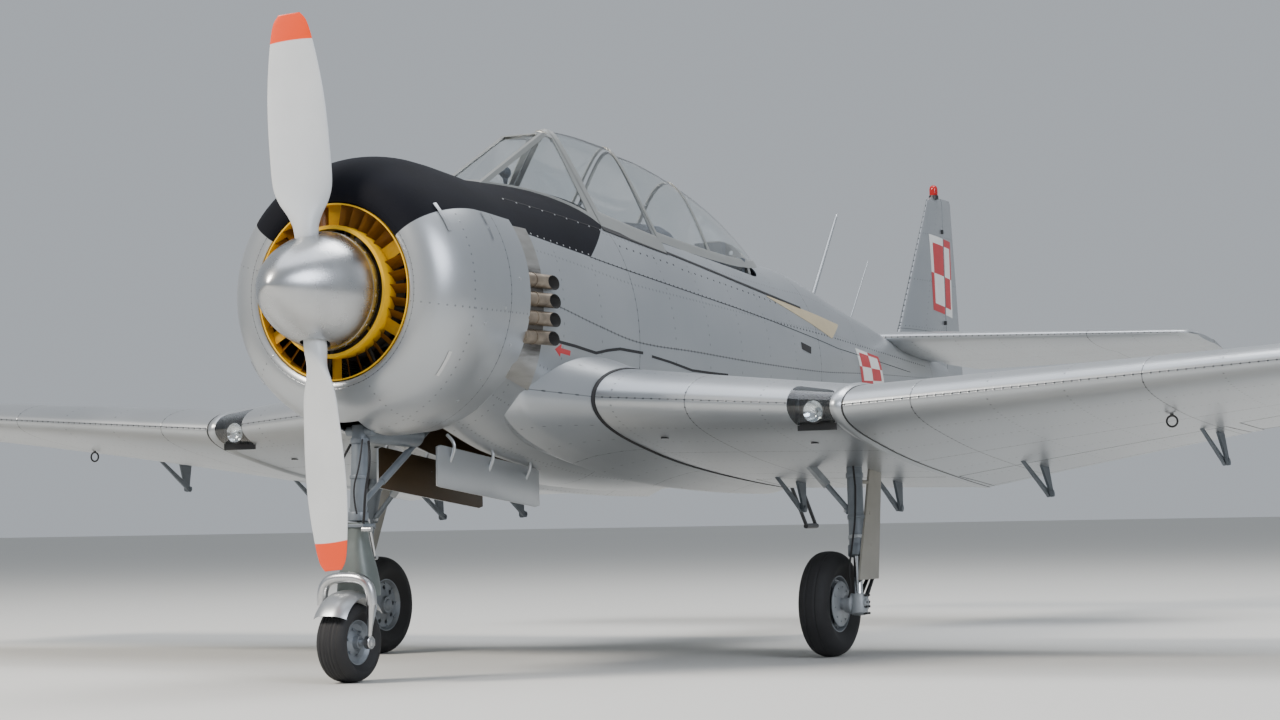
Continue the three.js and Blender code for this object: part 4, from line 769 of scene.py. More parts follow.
# Aluminium vapour on glass: a mirror with a faint film of dust.
mirror_metal = bright_metal("lamp_reflector", "#d9dcde", 60.0, 3.0, 0.12, 0.22)
lamp_centre = spot(1670, 2086, 1208)
DISH = [(0, 22), (18, 19), (34, 10), (46, -4), (51, -10), (54, -10), (54, -7), (48, 0), (36, 16), (19, 25),
        (0, 29)]
dish = turned(DISH, lamp_centre, AFT)
bulb = turned([(0, -4), (8, -1), (11, 8), (8, 16), (0, 20)], lamp_centre, AFT, 24)
bezel = turned([(51, -12), (58, -12), (58, -2), (51, -2), (51, -12)], lamp_centre, AFT)
well = box(spot(1569, 2117, 1118), spot(1771, 2121, 1290))
show_pair(lens_cover, "landing_light_cover", "airframe", clear_sheet, stands_for="landing_light")
show_pair(joined(dish, bulb), "landing_lamp", "airframe", mirror_metal)
show_pair(bezel, "landing_lamp_bezel", "airframe", black_paint)
show_pair(well, "landing_lamp_back", "airframe", dark_well_and_hole_shade)
print("landing lights made")

# %% [markdown]
# ## Wing fillets and joint strips
# Where the wing meets the hull, a fillet sheet swells to smooth the air, and a black rubber strip
# seals its edge. A raised strip covers the joint of the inner and outer panels. Both follow the
# wing's own section, so they are thin bands of the same rolled grid, grown a little.

# %% Fillets and strips
fillet = cut(panel(FILLET, 1, 639, 44, 90), hull(1184, 8130, 0.4, 96, 110))
fillet = cut(fillet, box(spot(-2000, 1000, 0), spot(150, 6000, 3000)))
# Moulded synthetic rubber: a soft black, dusty and without shine.
rubber = painted("black_rubber", "#18181a", "#29292b", 12.0, 6.0, 0.72, slot="tyre_rubber")


def band(rows, first, last, thick, steps=3):
    grown = [(r[0], r[1] - thick, r[2], r[3] + 2 * thick, r[4], r[5] + 2 * thick / r[3], r[6]) for r in rows]
    outer = panel(grown, first, last, steps)
    return cut(outer, panel(rows, first - 5, last + 5, steps))


def bead(rows, first, last, height):
    shaped = []
    for i in range(11):
        r = between(rows, first + (last - first) * i / 10)
        lift = 0.4 + height * math.sin(math.pi * i / 10)
        shaped.append((r[0], r[1] - lift, r[2], r[3] + 2 * lift, r[4], r[5] + 2 * lift / r[3], r[6]))
    return cut(panel(shaped, first, last, 12), panel(rows, first - 3, last + 3, 4))


seal = band([FILLET[-2], ROOT, JOINT], 634, 646, 3)
strip = bead(inner_rows, 1772, 1825, 9)
gap_line = band([ROOT, JOINT, TIP], 1825.3, 1833.7, 1.5)
show_pair(fillet, "wing_fillet_skin", "airframe", silver_wing, stands_for="wing_fillet")
show_pair(seal, "wing_root_seal", "airframe", rubber)
show_pair(strip, "joint_strips", "airframe", silver_plain)
show_pair(gap_line, "joint_gap", "airframe", black_paint)
print("fillets and strips made")

# %% [markdown]
# ## Tail
# The tailplane and fin are thin symmetric aerofoils. Elevator and rudder are split off with a round
# nose on the hinge line, in the same way as the ailerons.

# %% Tailplane and elevators
# across the span, nose station, nose height, chord, twist in degrees, thickness, camber
TAIL = [(60, 6800, 1868, 1400, 5, 0.1, 0), (1960, 7190, 1834, 860, 5, 0.09, 0),
        (2060, 7330, 1822, 600, 5, 0.045, 0)]
ELEVATOR_STATION, ELEVATOR_Z = 7745, 1785.386


def elevator_spot(x):
    return spot(x, ELEVATOR_STATION, ELEVATOR_Z)


round_steps = [math.pi / 12 * k for k in range(7)]
round_tip = [(TAIL[1][0] + 100 * math.sin(a), *blend_rows(TAIL[1], TAIL[2], 1 - math.cos(a))[1:])
             for a in round_steps]
tail_half = panel([TAIL[0], *round_tip], 61, 2059.9, 60)
elevator = cut(tail_half.copy(), keyhole(elevator_spot(150), elevator_spot(2100), 48, 700), "INTERSECT")
tailplane = cut(tail_half, keyhole(elevator_spot(144), elevator_spot(2300), 54, 700))
tailplane = cut(tailplane, hull(6300, 8130, 0.4))
tailplane = cut(tailplane, box(spot(-10, 7690, 1500), spot(156, 8700, 2200)))
elevator = cut(elevator, prism([(0, 7865), (152, 7865), (360, 8400), (0, 8400)], 1300, 2200))
droop = Matrix.Rotation(math.radians(-6), 4, "X")
lowered = Matrix.Translation(elevator_spot(0)) @ droop @ Matrix.Translation(-elevator_spot(0))
bmesh.ops.transform(elevator, matrix=lowered, verts=elevator.verts)
# Machined steel: bright and hard, with fine handling marks.
steel = painted("bare_steel", "#8d9093", "#a9acae", 40.0, 5.0, 0.34, 0.9, slot="fork_metal")
show_pair(tailplane, "tailplane_skin", "airframe", silver_tail, stands_for="tailplane")
show_pair(elevator, "elevator_skin", "elevators", silver_tail, stands_for="elevator")
show_pair(rod(elevator_spot(30), elevator_spot(170), 8), "elevator_tube", "elevators", steel)
print("tailplane made")

# %% [markdown]
# ## Fin and rudder
# The fin is drawn the same way, standing up, and a low dorsal sheet fairs it into the hull's back.

# %% Fin and rudder
# height, nose station, chord, thickness
FIN = [(1660, 7120, 1430, 0.075), (1990, 7370, 1127, 0.08), (2850, 7905, 474, 0.09), (2912, 8010, 345, 0.05)]


def fin_body(rows, along=50, across=64):
    def place(s, t):
        z = rows[0][0] + (rows[-1][0] - rows[0][0]) * t
        _, station, chord, thickness = between(rows, z)
        fraction, side = (1 + math.cos(math.tau * s)) / 2, 1 if s < 0.5 else -1
        point = spot(chord * foil(fraction, side, thickness, 0), station + chord * fraction, z)
        return point, (z * MM, side * fraction * 0.9)
    return rolled(across, along, place, closed=True, ends=True)


fin_tip = [(FIN[2][0] + 62 * math.sin(a), *blend_rows(FIN[2], FIN[3], 1 - math.cos(a))[1:])
           for a in round_steps]
fin_all = fin_body([*FIN[:2], *fin_tip])
hinge_low, hinge_high = spot(0, 8200, 1660), spot(0, 8200, 2940)
rudder = cut(fin_all.copy(), keyhole(hinge_low, hinge_high, 34, 500), "INTERSECT")
fin = cut(fin_all, keyhole(hinge_low - UP * 0.006, hinge_high + UP * 0.006, 40, 500))
fin = cut(fin, hull(6300, 8130, 0.4))


def dorsal_place(s, t):
    station, foot = 6900 + 578 * t, 1740
    rise, angle, half = 65 + 246 * max(t, 0) ** 1.15, math.pi * s, 3 + 22 * t
    point = spot(half * math.cos(angle), station, foot + rise * math.sin(angle) ** 0.5)
    return point, (station * MM, angle * 0.1)


dorsal = cut(rolled(24, 20, dorsal_place, ends=True), hull(6300, 8130, 0.3))
silver_fin = silver_enamel("silver_enamel_fin", 0.33, 0.3, (0.98, 0.9))
show(joined(fin, dorsal), "fin_skin", "airframe", silver_fin, replaces=["fin"])
show(rudder, "rudder_skin", "rudder", silver_fin, replaces=["rudder"])
print("tail made")

# %% [markdown]
# ## Cowl
# The cowl is a spun aluminium ring with a rounded lip, riveted to a drum that wraps the radial
# engine. Its section is drawn once, outside, round the lip and back inside, and turned about the
# thrust line. The foot of the drum is open for the nose leg.

# %% Cowl
COWL = {"front": 500, "rear": 1225, "lip": 404, "radius": 650, "rear_radius": 625, "wall": 6, "nose": 370}


def smooth_profile():
    points = []
    start, rise = COWL["lip"] + 34, COWL["radius"] - COWL["lip"] - 34
    for i in range(25):
        angle = math.pi / 2 * i / 24
        station = COWL["front"] + COWL["nose"] * (1 - math.cos(angle))
        points.append((start + rise * math.sin(angle) ** 0.9, station))
    points += [(645, 980), (637, 1080), (630, 1160), (COWL["rear_radius"], COWL["rear"])]
    inner = [(r - COWL["wall"], max(s, COWL["front"] + 12)) for r, s in reversed(points[3:])]
    lip = [(COWL["lip"] + out, s) for out, s in ((10, 560), (1, 536), (1, 522), (7, 509), (18, 502))]
    return points + inner + lip


def cowl_point(radius, station, angle):
    return spot(radius * math.sin(angle), station, THRUST_Z + radius * math.cos(angle))


def turned_sheet(profile, steps=128):
    run = [0.0]
    loop = profile + [profile[0]]
    for (r0, s0), (r1, s1) in zip(loop, loop[1:]):
        run.append(run[-1] + math.hypot(r1 - r0, s1 - s0) * MM)

    def place(s, t):
        k = min(int(round(t * (len(loop) - 1))), len(loop) - 1)
        angle = math.tau * s + math.pi
        return cowl_point(*loop[k], angle), (run[k], angle * 0.62)
    return rolled(steps, len(loop) - 1, place, closed=True)


cowl = cut(turned_sheet(smooth_profile()), box(spot(-72, 600, 1000), spot(72, 1300, 1300)))
cowl = cut(cowl, hull(1190, 1300, 0.5, 96, 6))
show(cowl, "cowl_skin", "airframe", silver_cowl, interior, replaces=["cowl"])
print("cowl made")

# %% [markdown]
# ## Cowl latches
# The cowl opens for work on the engine, so plated strips and round catches hold its panels shut.
# Each one is placed by its station and by its angle round the cowl from the top.

# %% Cowl latches
def cowl_spot(station, degrees, lift=0.0):
    outer = smooth_profile()[:29]
    for (r0, s0), (r1, s1) in zip(outer, outer[1:]):
        if station <= s1:
            radius = r0 + (r1 - r0) * (station - s0) / (s1 - s0)
            break
    return cowl_point(radius + lift, station, math.radians(degrees))


def latch_strip(station, first, last, width, side):
    def place(s, t):
        return cowl_spot(station + width * (s - 0.5), side * (first + (last - first) * t), 4), (s, t)
    return sheet(4, 24, place, 0.003)


def catch(station, degrees):
    return rod(cowl_spot(station, degrees, -1), cowl_spot(station, degrees, 3), 8, sides=16)


# station, first angle, last angle, width
STRIPS = ((630, 51, 65.4, 16), (925, 56, 62, 14), (925, 63.5, 69, 9), (640, 118, 130, 16))
# station, angle
CATCHES = ((800, 104), (960, 97), (960, 128), (1090, 112), (900, 140), (1120, 84))
latches = []
for side in (1, -1):
    latches += [latch_strip(*strip, side) for strip in STRIPS]
    latches += [catch(station, side * degrees) for station, degrees in CATCHES]
# Zinc-plated steel: a bright cold metal with small worn spots.
plated = painted("plated_steel", "#b9bbbd", "#d6d7d8", 90.0, 4.0, 0.28, 1.0)
show(joined(*latches), "cowl_latches", "airframe", plated)
print("latches made")

# %% [markdown]
# ## Cooling vanes
# Behind the spinner a ring of turned vanes throws air on the cylinders. Vanes and hoops are painted
# a bright chrome-yellow, stained by oil, and the narrow vanes a darker brown as painted shade.

# %% Vanes
# Stoving enamel on the hoops: a warm yellow gloss under thin streaks of oil.
yellow, tree, shader = new_finish("oily_yellow_enamel", "vane_yellow")
where = add(tree, "ShaderNodeTexCoord")
stain = add(tree, "ShaderNodeTexNoise", {"Vector": where.outputs["Object"], "Scale": 14.0, "Detail": 7.0,
                                         "Roughness": 0.7})
tone = add(tree, "ShaderNodeMix", {0: stain.outputs["Fac"], 6: linear("#cf9a0e"), 7: linear("#f6c514")},
           data_type="RGBA")
feed(tree, shader, {"Base Color": tone.outputs[2], "Roughness": 0.4})
# The same enamel on the narrow vanes, darker brown and glossier: painted shade deep in the ring.
vane_shade_brown = painted("vane_yellow_painted_shade", "#6b4619", "#b07a26", 11.0, 7.0, 0.33, slot="vane_yellow")
RING_PLACE = HUB + AFT * 0.540


def vane(angle, turn_in=-38):
    blade = bmesh.new()
    bmesh.ops.create_grid(blade, x_segments=8, y_segments=2, size=0.5)
    for vert in blade.verts:
        along, out = vert.co.x, vert.co.y + 0.5
        vert.co = Vector((16 * along ** 2 - 4, 62 * along, 299 + 99 * out)) * MM
    bmesh.ops.solidify(blade, geom=blade.faces[:], thickness=0.0022)
    lean = Matrix.Rotation(math.radians(turn_in), 4, "Z")
    turn = Matrix.Translation(RING_PLACE) @ Matrix.Rotation(angle, 4, "Y")
    bmesh.ops.transform(blade, matrix=turn @ lean, verts=blade.verts)
    return facing_out(blade)


def spoke(angle):
    foot = RING_PLACE + AFT * 0.02
    return rod(foot + clock(angle) * 0.07, foot + clock(angle) * 0.29, 9)


HOOP = [(284, -58), (300, -58), (302, -50), (302, 30), (284, 30), (284, -58)]
inner_hoop = turned(HOOP, RING_PLACE, AFT, 128)
outer_hoop = turned([(397, -30), (403.5, -30), (403.5, 30), (397, 30), (397, -30)], RING_PLACE, AFT, 128)
vanes = [vane(math.tau * i / 36) for i in range(36) if i % 6]
plates = ring_of(6, lambda angle: vane(angle, -76))
ring = joined(inner_hoop, outer_hoop, *plates, *ring_of(3, spoke, 0.3))
show(ring, "cooling_vane_ring", "airframe", yellow, replaces=["cooling_vanes"])
show(joined(*vanes), "cooling_vane_plates", "airframe", vane_shade_brown)
print("vanes made", len(vanes))

# %% [markdown]
# ## Radial engine
# Each cylinder is a barrel with cast fins, so it is turned as one toothed profile. The crankcase is
# a stepped drum. It is seen only through the vanes, and from below through the cowl's foot.

# %% Cylinders and crankcase
# Sand-cast aluminium: a dull grey metal with a fine grit.
cast_alloy = painted("sand_cast_aluminium", "#4c4b49", "#74736f", 35.0, 6.0, 0.55, 0.6, slot="engine_metal")
CYLINDERS, FINS, FIN_PITCH = 7, 15, 11
drum = turned([(0, 412), (66, 412), (72, 424), (72, 470), (168, 522), (170, 610), (235, 640), (280, 680),
               (280, 900), (330, 930), (330, 1180), (0, 1180)], HUB, AFT, 96)


def cylinder(angle):
    profile = [(0, 262), (96, 262), (96, 290)]
    for i in range(FINS):
        out = 296 + i * FIN_PITCH
        profile += [(78, out), (78, out + 6.5), (104, out + 6.5), (104, out + 9)]
    profile += [(90, 470), (108, 474), (108, 500), (70, 528), (0, 528)]
    return turned(profile, HUB + AFT * 0.790, clock(angle), 28, AFT)


def push_rod(angle):
    return rod(HUB + AFT * 0.655 + clock(angle) * 0.235, HUB + AFT * 0.69 + clock(angle) * 0.5, 9, sides=12)


push_rods = ring_of(CYLINDERS, push_rod, -0.075) + ring_of(CYLINDERS, push_rod, 0.075)
engine = joined(drum, *ring_of(CYLINDERS, cylinder), *push_rods)
show(engine, "radial_engine", "airframe", cast_alloy, replaces=["engine_block"], crease=25)
print("engine made")

# %% [markdown]
# ## Spinner
# The spinner is spun from sheet aluminium and left bare, so it has fine rings from the lathe and a
# soft bright sheen. Its shell is one turned section, cut where the blades come through.

# %% Spinner
spun_metal, tree, shader = new_finish("spun_aluminium", "spinner_metal")
where, smear, tone = two_tones(tree, "#a9abad", "#cccdcd", 7.0, 6.0)
centred = add(tree, "ShaderNodeMapping", {"Vector": where, "Location": (0, 0, -THRUST_Z * MM)})
parts = add(tree, "ShaderNodeSeparateXYZ", {0: centred.outputs[0]})
rings = add(tree, "ShaderNodeTexNoise", {"W": parts.outputs[1], "Scale": 900.0, "Detail": 2.0},
            noise_dimensions="1D")
rough = add(tree, "ShaderNodeMapRange", {"Value": smear, "To Min": 0.2, "To Max": 0.36})
bump = add(tree, "ShaderNodeBump", {"Height": rings.outputs["Fac"], "Strength": 0.25, "Distance": 0.0004})
feed(tree, shader, {"Base Color": tone, "Roughness": rough.outputs[0], "Normal": bump.outputs[0],
                    "Metallic": 1.0})
SPINNER = {"radius": 268, "rim": 480, "skirt": 40}


def spinner_profile(inset=0.0, count=36):
    points = []
    for i in range(count + 1):
        t = (i / count) ** 1.5
        radius = (SPINNER["radius"] - inset) * (1 - (1 - t) ** 1.6) ** 0.65
        points.append((radius, inset + (SPINNER["rim"] - SPINNER["skirt"] - inset) * t))
    return points + [(SPINNER["radius"] - inset, SPINNER["rim"])]


shell = spinner_profile() + list(reversed(spinner_profile(4)))
spinner = turned(shell, HUB, AFT, 96)
lean = Matrix.Rotation(math.radians(-4.63), 4, "Y")
blade_line = Vector((lean @ UP)[:3])
blade_centre = HUB + AFT * 0.337
for way in (blade_line, -blade_line):
    spinner = cut(spinner, rod(blade_centre + way * 0.12, blade_centre + way * 0.4, 68, sides=64))
show(spinner, "spinner_shell", "propeller", spun_metal, replaces=["spinner"])


def spinner_screw(angle):
    middle = HUB + AFT * 0.461
    return rod(middle + clock(angle) * 0.2675, middle + clock(angle) * 0.2695, 5, sides=12)


skirt = turned([(268.2, 438), (269.6, 438), (269.6, 443), (268.2, 443), (268.2, 438)], HUB, AFT, 96)
back = turned([(64, 390), (257, 390), (257, 396), (64, 396), (64, 390)], HUB, AFT, 96)
show(joined(skirt, *ring_of(24, spinner_screw, math.pi / 24)), "spinner_screws", "propeller", plated)
show(back, "spinner_back_plate", "propeller", black_paint)
print("spinner made")

# %% [markdown]
# ## Blades
# The two wide blades are laminated and painted pale grey, with orange tips. A blade is a skin like
# the wing's, rolled round sections that turn finer and thinner towards the tip.

# %% Blades
# Two-part enamel: smooth and pale, with small chips, and orange beyond the tip line.
blade_paint, tree, shader = new_finish("two_part_blade_enamel", "blade_paint")
where, chips, tone = two_tones(tree, "#c4c8ca", "#dadddf", 4.0, 8.0)
centred = add(tree, "ShaderNodeVectorMath", {0: where, 1: (0, -3.938, THRUST_Z * MM)}, operation="SUBTRACT")
flat = add(tree, "ShaderNodeVectorMath", {0: centred.outputs[0], 1: (1, 0, 1)}, operation="MULTIPLY")
out = add(tree, "ShaderNodeVectorMath", {0: flat.outputs[0]}, operation="LENGTH")
tip = clear_of(tree, out.outputs["Value"], 1.135)
ends = add(tree, "ShaderNodeMix", {0: tip, 6: tone, 7: linear("#f2480a")}, data_type="RGBA")
rough = add(tree, "ShaderNodeMapRange", {"Value": chips, "To Min": 0.26, "To Max": 0.4})
feed(tree, shader, {"Base Color": ends.outputs[2], "Roughness": rough.outputs[0]})
# distance from the axis, chord, thickness, angle in degrees
BLADE = [[0, 96, 96, 48], [270, 112, 104, 44], [330, 150, 84, 38], [400, 226, 56, 31], [470, 266, 42, 26],
         [600, 276, 31, 22], [800, 274, 25, 17], [950, 255, 20, 14], [1130, 205, 14, 12], [1222, 158, 9, 11],
         [1258, 104, 6, 11]]
BLADE_FOOT, BLADE_TIP = 60, 1258


def blade_place(s, t):
    out = BLADE_FOOT + (BLADE_TIP - BLADE_FOOT) * (1 - (1 - t) ** 1.3)
    _, chord, thick, pitch = row_at(BLADE, out)
    a, p = math.tau * s, math.radians(pitch)
    along, through = chord / 2 * math.cos(a), thick / 2 * math.sin(a)
    x, y = along * math.cos(p) + through * math.sin(p), along * math.sin(p) - through * math.cos(p)
    return Vector((x, y, out)) * MM, (out * MM, a * 0.1)


def one_blade(turn):
    blade = rolled(48, 60, blade_place, closed=True, ends=True)
    rims = [e for e in blade.edges if e.calc_length() < 0.02 and min(v.co.z for v in e.verts) > 1.25
            and len([f for f in e.link_faces if len(f.verts) > 4]) == 1]
    bevelled(blade, rims, 2)
    stand = Matrix.Translation(blade_centre) @ lean @ Matrix.Rotation(turn, 4, "Y")
    bmesh.ops.transform(blade, matrix=stand, verts=blade.verts)
    return blade


hub = turned([(0, 262), (52, 262), (63, 276), (63, 395.4), (0, 395.4)], HUB, AFT, 48)
shaft = rod(HUB + AFT * 0.300, HUB + AFT * 0.4117, 56, sides=48)
show(joined(*ring_of(2, one_blade)), "propeller_blades", "propeller", blade_paint, replaces=["propeller"])
show(joined(hub, shaft), "propeller_hub", "propeller", steel)
print("propeller made")

# %% [markdown]
# ## Exhausts
# Four stubs leave each side of the hull, cut off at a slant so that the gas clears the skin. Heat
# turns bare steel from straw to brown, most of all towards the open end.

# %% Exhaust stubs
heat_steel, tree, shader = new_finish("heat_stained_steel", "exhaust_steel")
where = add(tree, "ShaderNodeTexCoord")
burn = add(tree, "ShaderNodeTexNoise", {"Vector": where.outputs["Object"], "Scale": 16.0, "Detail": 7.0})
parts = add(tree, "ShaderNodeSeparateXYZ", {0: where.outputs["Object"]})
heat = add(tree, "ShaderNodeMapRange", {"Value": parts.outputs[1], "From Min": -2.85, "From Max": -2.62})
mixed = add(tree, "ShaderNodeMath", {0: heat.outputs[0], 1: 0.55, 2: burn.outputs["Fac"]},
            operation="MULTIPLY_ADD")
ramp = add(tree, "ShaderNodeValToRGB", {0: mixed.outputs[0]})
for element, place, colour in zip(ramp.color_ramp.elements, (0.3, 0.95), ("#a39685", "#3a2c1f")):
    element.position = place
    element.color = linear(colour)
feed(tree, shader, {"Base Color": ramp.outputs[0], "Metallic": 0.75, "Roughness": 0.48})
# Carbon left by the gas inside the pipe: dead black.
soot = painted("exhaust_soot", "#0b0a09", "#171513", 50.0, 5.0, 0.95)


def hull_side(station, z):
    _, half, belt, top, bottom = row_at(HULL, station)
    bend, rise = (1.0, top - belt) if z >= belt else (BELLY_BEND, belt - bottom)
    s = min(abs(z - belt) / rise, 0.999) ** (1 / bend)
    return half * math.sqrt(1 - s * s) ** bend


def pipe(start, end, radius, wall, cut_angle):
    way = end - start
    inner = rod(start + way * 0.12, end + way * 0.2, radius - wall, sides=48)
    bm = cut(rod(start, end, radius, sides=48), inner)
    normal = Vector((math.sin(cut_angle), math.cos(cut_angle), 0))
    sliced = bmesh.ops.bisect_plane(bm, geom=bm.verts[:] + bm.edges[:] + bm.faces[:], clear_outer=True,
                                    plane_co=end - AFT * 0.13, plane_no=normal)
    bmesh.ops.bridge_loops(bm, edges=[e for e in sliced["geom_cut"] if isinstance(e, bmesh.types.BMEdge)])
    return facing_out(bm)


stubs, collars = [], []
for z in (1841, 1752, 1664, 1575):
    middle = hull_side(1540, z) + 38
    start, end = spot(middle - 14, 1215, z), spot(middle + 8, 1612, z)
    stubs.append(pipe(start, end, 34, 3, math.radians(75)))
    at = start.lerp(end, 0.24)
    collars.append(rod(at - AFT * 0.006, at + AFT * 0.006, 36, sides=40))
show_pair(joined(*stubs, *collars), "exhaust_stubs", "airframe", heat_steel, soot, stands_for="exhaust")
print("exhausts made")

# %% [markdown]
# ## Heat shield
# A bare steel sheet behind the cowl takes the heat of the gas. Rolling leaves streaks along it, and
# a dark brown band at the middle, where the pipes lie, is soot with painted shade between the stubs.

# %% Heat shield
def shield_place(s, t):
    station = 1195 + (1428 - 1195) * t
    angle = math.radians(-35) + math.radians(68) * s
    return hull_point(station, angle, 6), (station * MM, angle * 0.55)


# Cold-rolled steel: streaked along the sheet, with a dark brown band of soot and painted shade at the pipes.
streaked_steel_with_shade, tree, shader = new_finish("bare_sheet_steel")
where = add(tree, "ShaderNodeTexCoord")
long = add(tree, "ShaderNodeMapping", {"Vector": where.outputs["Object"], "Scale": (1, 0.25, 2)})
smear = add(tree, "ShaderNodeTexNoise", {"Vector": long.outputs[0], "Scale": 22.0, "Detail": 6.0})
tone = add(tree, "ShaderNodeMix", {0: smear.outputs["Fac"], 6: linear("#9a958c"), 7: linear("#c6c4c0")},
           data_type="RGBA")
height = add(tree, "ShaderNodeSeparateXYZ", {0: where.outputs["Object"]})
# Darker brown about 1.7 m up, at the pipes: soot, with painted shade between the stubs.
off_middle = add(tree, "ShaderNodeMath", {0: height.outputs[2], 1: -1.7}, operation="ADD")
off_middle = add(tree, "ShaderNodeMath", {0: off_middle.outputs[0]}, operation="ABSOLUTE")
ragged = add(tree, "ShaderNodeMath", {0: smear.outputs["Fac"], 1: 0.09, 2: off_middle.outputs[0]},
             operation="MULTIPLY_ADD")
stain = add(tree, "ShaderNodeMapRange", {"Value": ragged.outputs[0], "From Min": 0.27, "From Max": 0.21,
                                         "To Max": 0.85})
soot_and_painted_shade = add(tree, "ShaderNodeMix", {0: stain.outputs[0], 6: tone.outputs[2], 7: linear("#2e251b")},
              data_type="RGBA")
rough = add(tree, "ShaderNodeMapRange", {"Value": smear.outputs["Fac"], "To Min": 0.24, "To Max": 0.42})
feed(tree, shader, {"Base Color": soot_and_painted_shade.outputs[2], "Roughness": rough.outputs[0], "Metallic": 0.95})
show_pair(sheet(36, 8, shield_place, 0.0045), "heat_shield", "airframe", streaked_steel_with_shade)
print("heat shield made")

# %% [markdown]
# ## Canopy
# A fixed windscreen and two hoods that slide on rails make the canopy. Acrylic sheets are blown over
# hoops. One rule gives the arch of a hood at any station; the glass is a thin shell under the
# frame's own shell, and the frame is that shell kept only along its hoops and rails.

# %% Canopy shells
# station, half width, foot height, crown height
FRONT_HOOD = [[2496, 338, 2195, 2742], [2820, 352, 2165, 2742], [3168, 360, 2128, 2722]]
REAR_HOOD = [[3176, 324, 2120, 2700], [3500, 325, 2090, 2672], [3892, 320, 2052, 2604],
             [4300, 298, 2020, 2500], [4640, 262, 2000, 2372], [4900, 212, 1990, 2240]]
CROWN_ROUND = [[2496, 0.12], [3172, 0.2], [3892, 0.6], [4900, 1.5]]
FOOT_PART = 0.08  # the share of an arch that goes straight down into the hull at each side
FOOT_FALL = 120
SCREEN_CORNER = 122  # half the width of the windscreen's flat front pane


def arch_at(row, u, grow):
    station, half, foot, top = row
    soft = row_at(CROWN_ROUND, station)[1]
    drop = (math.sqrt(u * u + soft * soft) - soft) / (math.sqrt(1 + soft * soft) - soft)
    return spot((half + grow) * u, station, foot + (top - foot + grow) * (1 - drop))


def arch(row, q, grow):
    station, half, foot, _ = row
    if q < FOOT_PART or q > 1 - FOOT_PART:
        side = 1 if q < 0.5 else -1
        fall = FOOT_FALL * (1 - min(q, 1 - q) / FOOT_PART)
        return spot(side * (half + grow), station, foot - fall)
    return arch_at(row, math.cos(math.pi * (q - FOOT_PART) / (1 - 2 * FOOT_PART)), grow)


def shell_of(point, along, across=80):
    def place(s, t):
        q = 2 * s if s <= 0.5 else 2 - 2 * s
        return point(q, t, s > 0.5), (q, t)
    return rolled(across, along, place, closed=True, ends=True)


def hood_shell(rows, first, last, outer, inner, along=24):
    def point(q, t, inside):
        return arch(row_at(rows, first + (last - first) * t), q, -inner if inside else -outer)
    return shell_of(point, along, 120)


def screen_point(q, ring, grow):
    if ring == 2:
        row, near = [2490, 338, 2195, 2742], min(q, 1 - q)
        if near < FOOT_PART:
            return arch(row, q, grow)
        u = 1 - 0.82 * (near - FOOT_PART) / 0.28 if near < 0.36 else 0.18 * (0.5 - near) / 0.14
        return arch_at(row, u if q < 0.5 else -u, grow)
    station, corner_z, base_x, base_z = ((1525, 2312, 132, 2100), (2270, 2688, 300, 2085))[ring]
    corner_x, corner_z, base_x = SCREEN_CORNER + grow * 0.8, corner_z + grow, base_x + grow
    if q < 0.36 or q > 0.64:
        side, t = (1, q / 0.36) if q < 0.5 else (-1, (1 - q) / 0.36)
        return spot(side * (base_x + (corner_x - base_x) * t), station, base_z + (corner_z - base_z) * t)
    return spot(corner_x * (1 - 2 * (q - 0.36) / 0.28), station, corner_z)


def screen_shell(outer, inner):
    def point(q, t, inside):
        grow = -inner if inside else -outer
        ring, part = (0, t / 0.75) if t < 0.75 else (1, (t - 0.75) / 0.25)
        return screen_point(q, ring, grow).lerp(screen_point(q, ring + 1, grow), part)
    return shell_of(point, 16, 100)


print("front hood's crown is at", FRONT_HOOD[0][3], "mm")

# %% [markdown]
# ## Frames and panes
# Each frame is the outer shell kept only where a hoop, a bar or the rail runs. Each pane is the
# thinner shell under it, cut off along the hull.

# %% Frames and panes
def union(first, *others):
    for other in others:
        first = cut(first, other, "UNION")
    return first


def hoop_zone(first, last):
    return box(spot(-500, first, 1800), spot(500, last, 3000))


def screen_bar(side, start, end, radius, sides):
    (x_a, station_a, z_a), (x_b, station_b, z_b) = start, end
    return rod(spot(side * x_a, station_a, z_a), spot(side * x_b, station_b, z_b), radius, sides=sides)


def above_hull(shell, first, last, along):
    return cut(shell, hull(first, last, 0.3, 96, along))


def frame_of(shell, zone, span):
    return above_hull(cut(shell, zone, "INTERSECT"), *span)


# The same silver enamel, sprayed on the hoops by hand: a warmer, flatter coat.
canopy_frame = silver_enamel("silver_enamel_canopy", tones=("#9fa09d", "#b9bab6"))
OUTER, PANE = (0, 6), (6.3, 10.3)
SCREEN_SPAN, FRONT_SPAN, REAR_SPAN = (1300, 2600, 24), (2300, 3400, 20), (3000, 5000, 36)
bars = []
for side in (1, -1):
    bars.append(screen_bar(side, (SCREEN_CORNER, 1480, 2289), (SCREEN_CORNER, 2276, 2691), 24, 16))
for side in (1, -1):
    bars.append(screen_bar(side, (SCREEN_CORNER, 2264, 2688), (61, 2496, 2704), 20, 20))
brow = rod(spot(-130, 2268, 2688), spot(130, 2268, 2688), 17, sides=20)
screen_zone = union(hoop_zone(2440, 2491), brow, *bars, hull(1300, 2600, 9, 96, 24))
front_zone = union(hoop_zone(2496, 2548), hoop_zone(3140, 3168.5), hull(2300, 3400, 26, 96, 20))
rear_zone = union(hoop_zone(3176, 3204), hoop_zone(3874, 3908), hoop_zone(4876, 4900.5),
                  hull(3000, 5000, 26, 96, 36))
screen_frame = frame_of(screen_shell(*OUTER), screen_zone, SCREEN_SPAN)
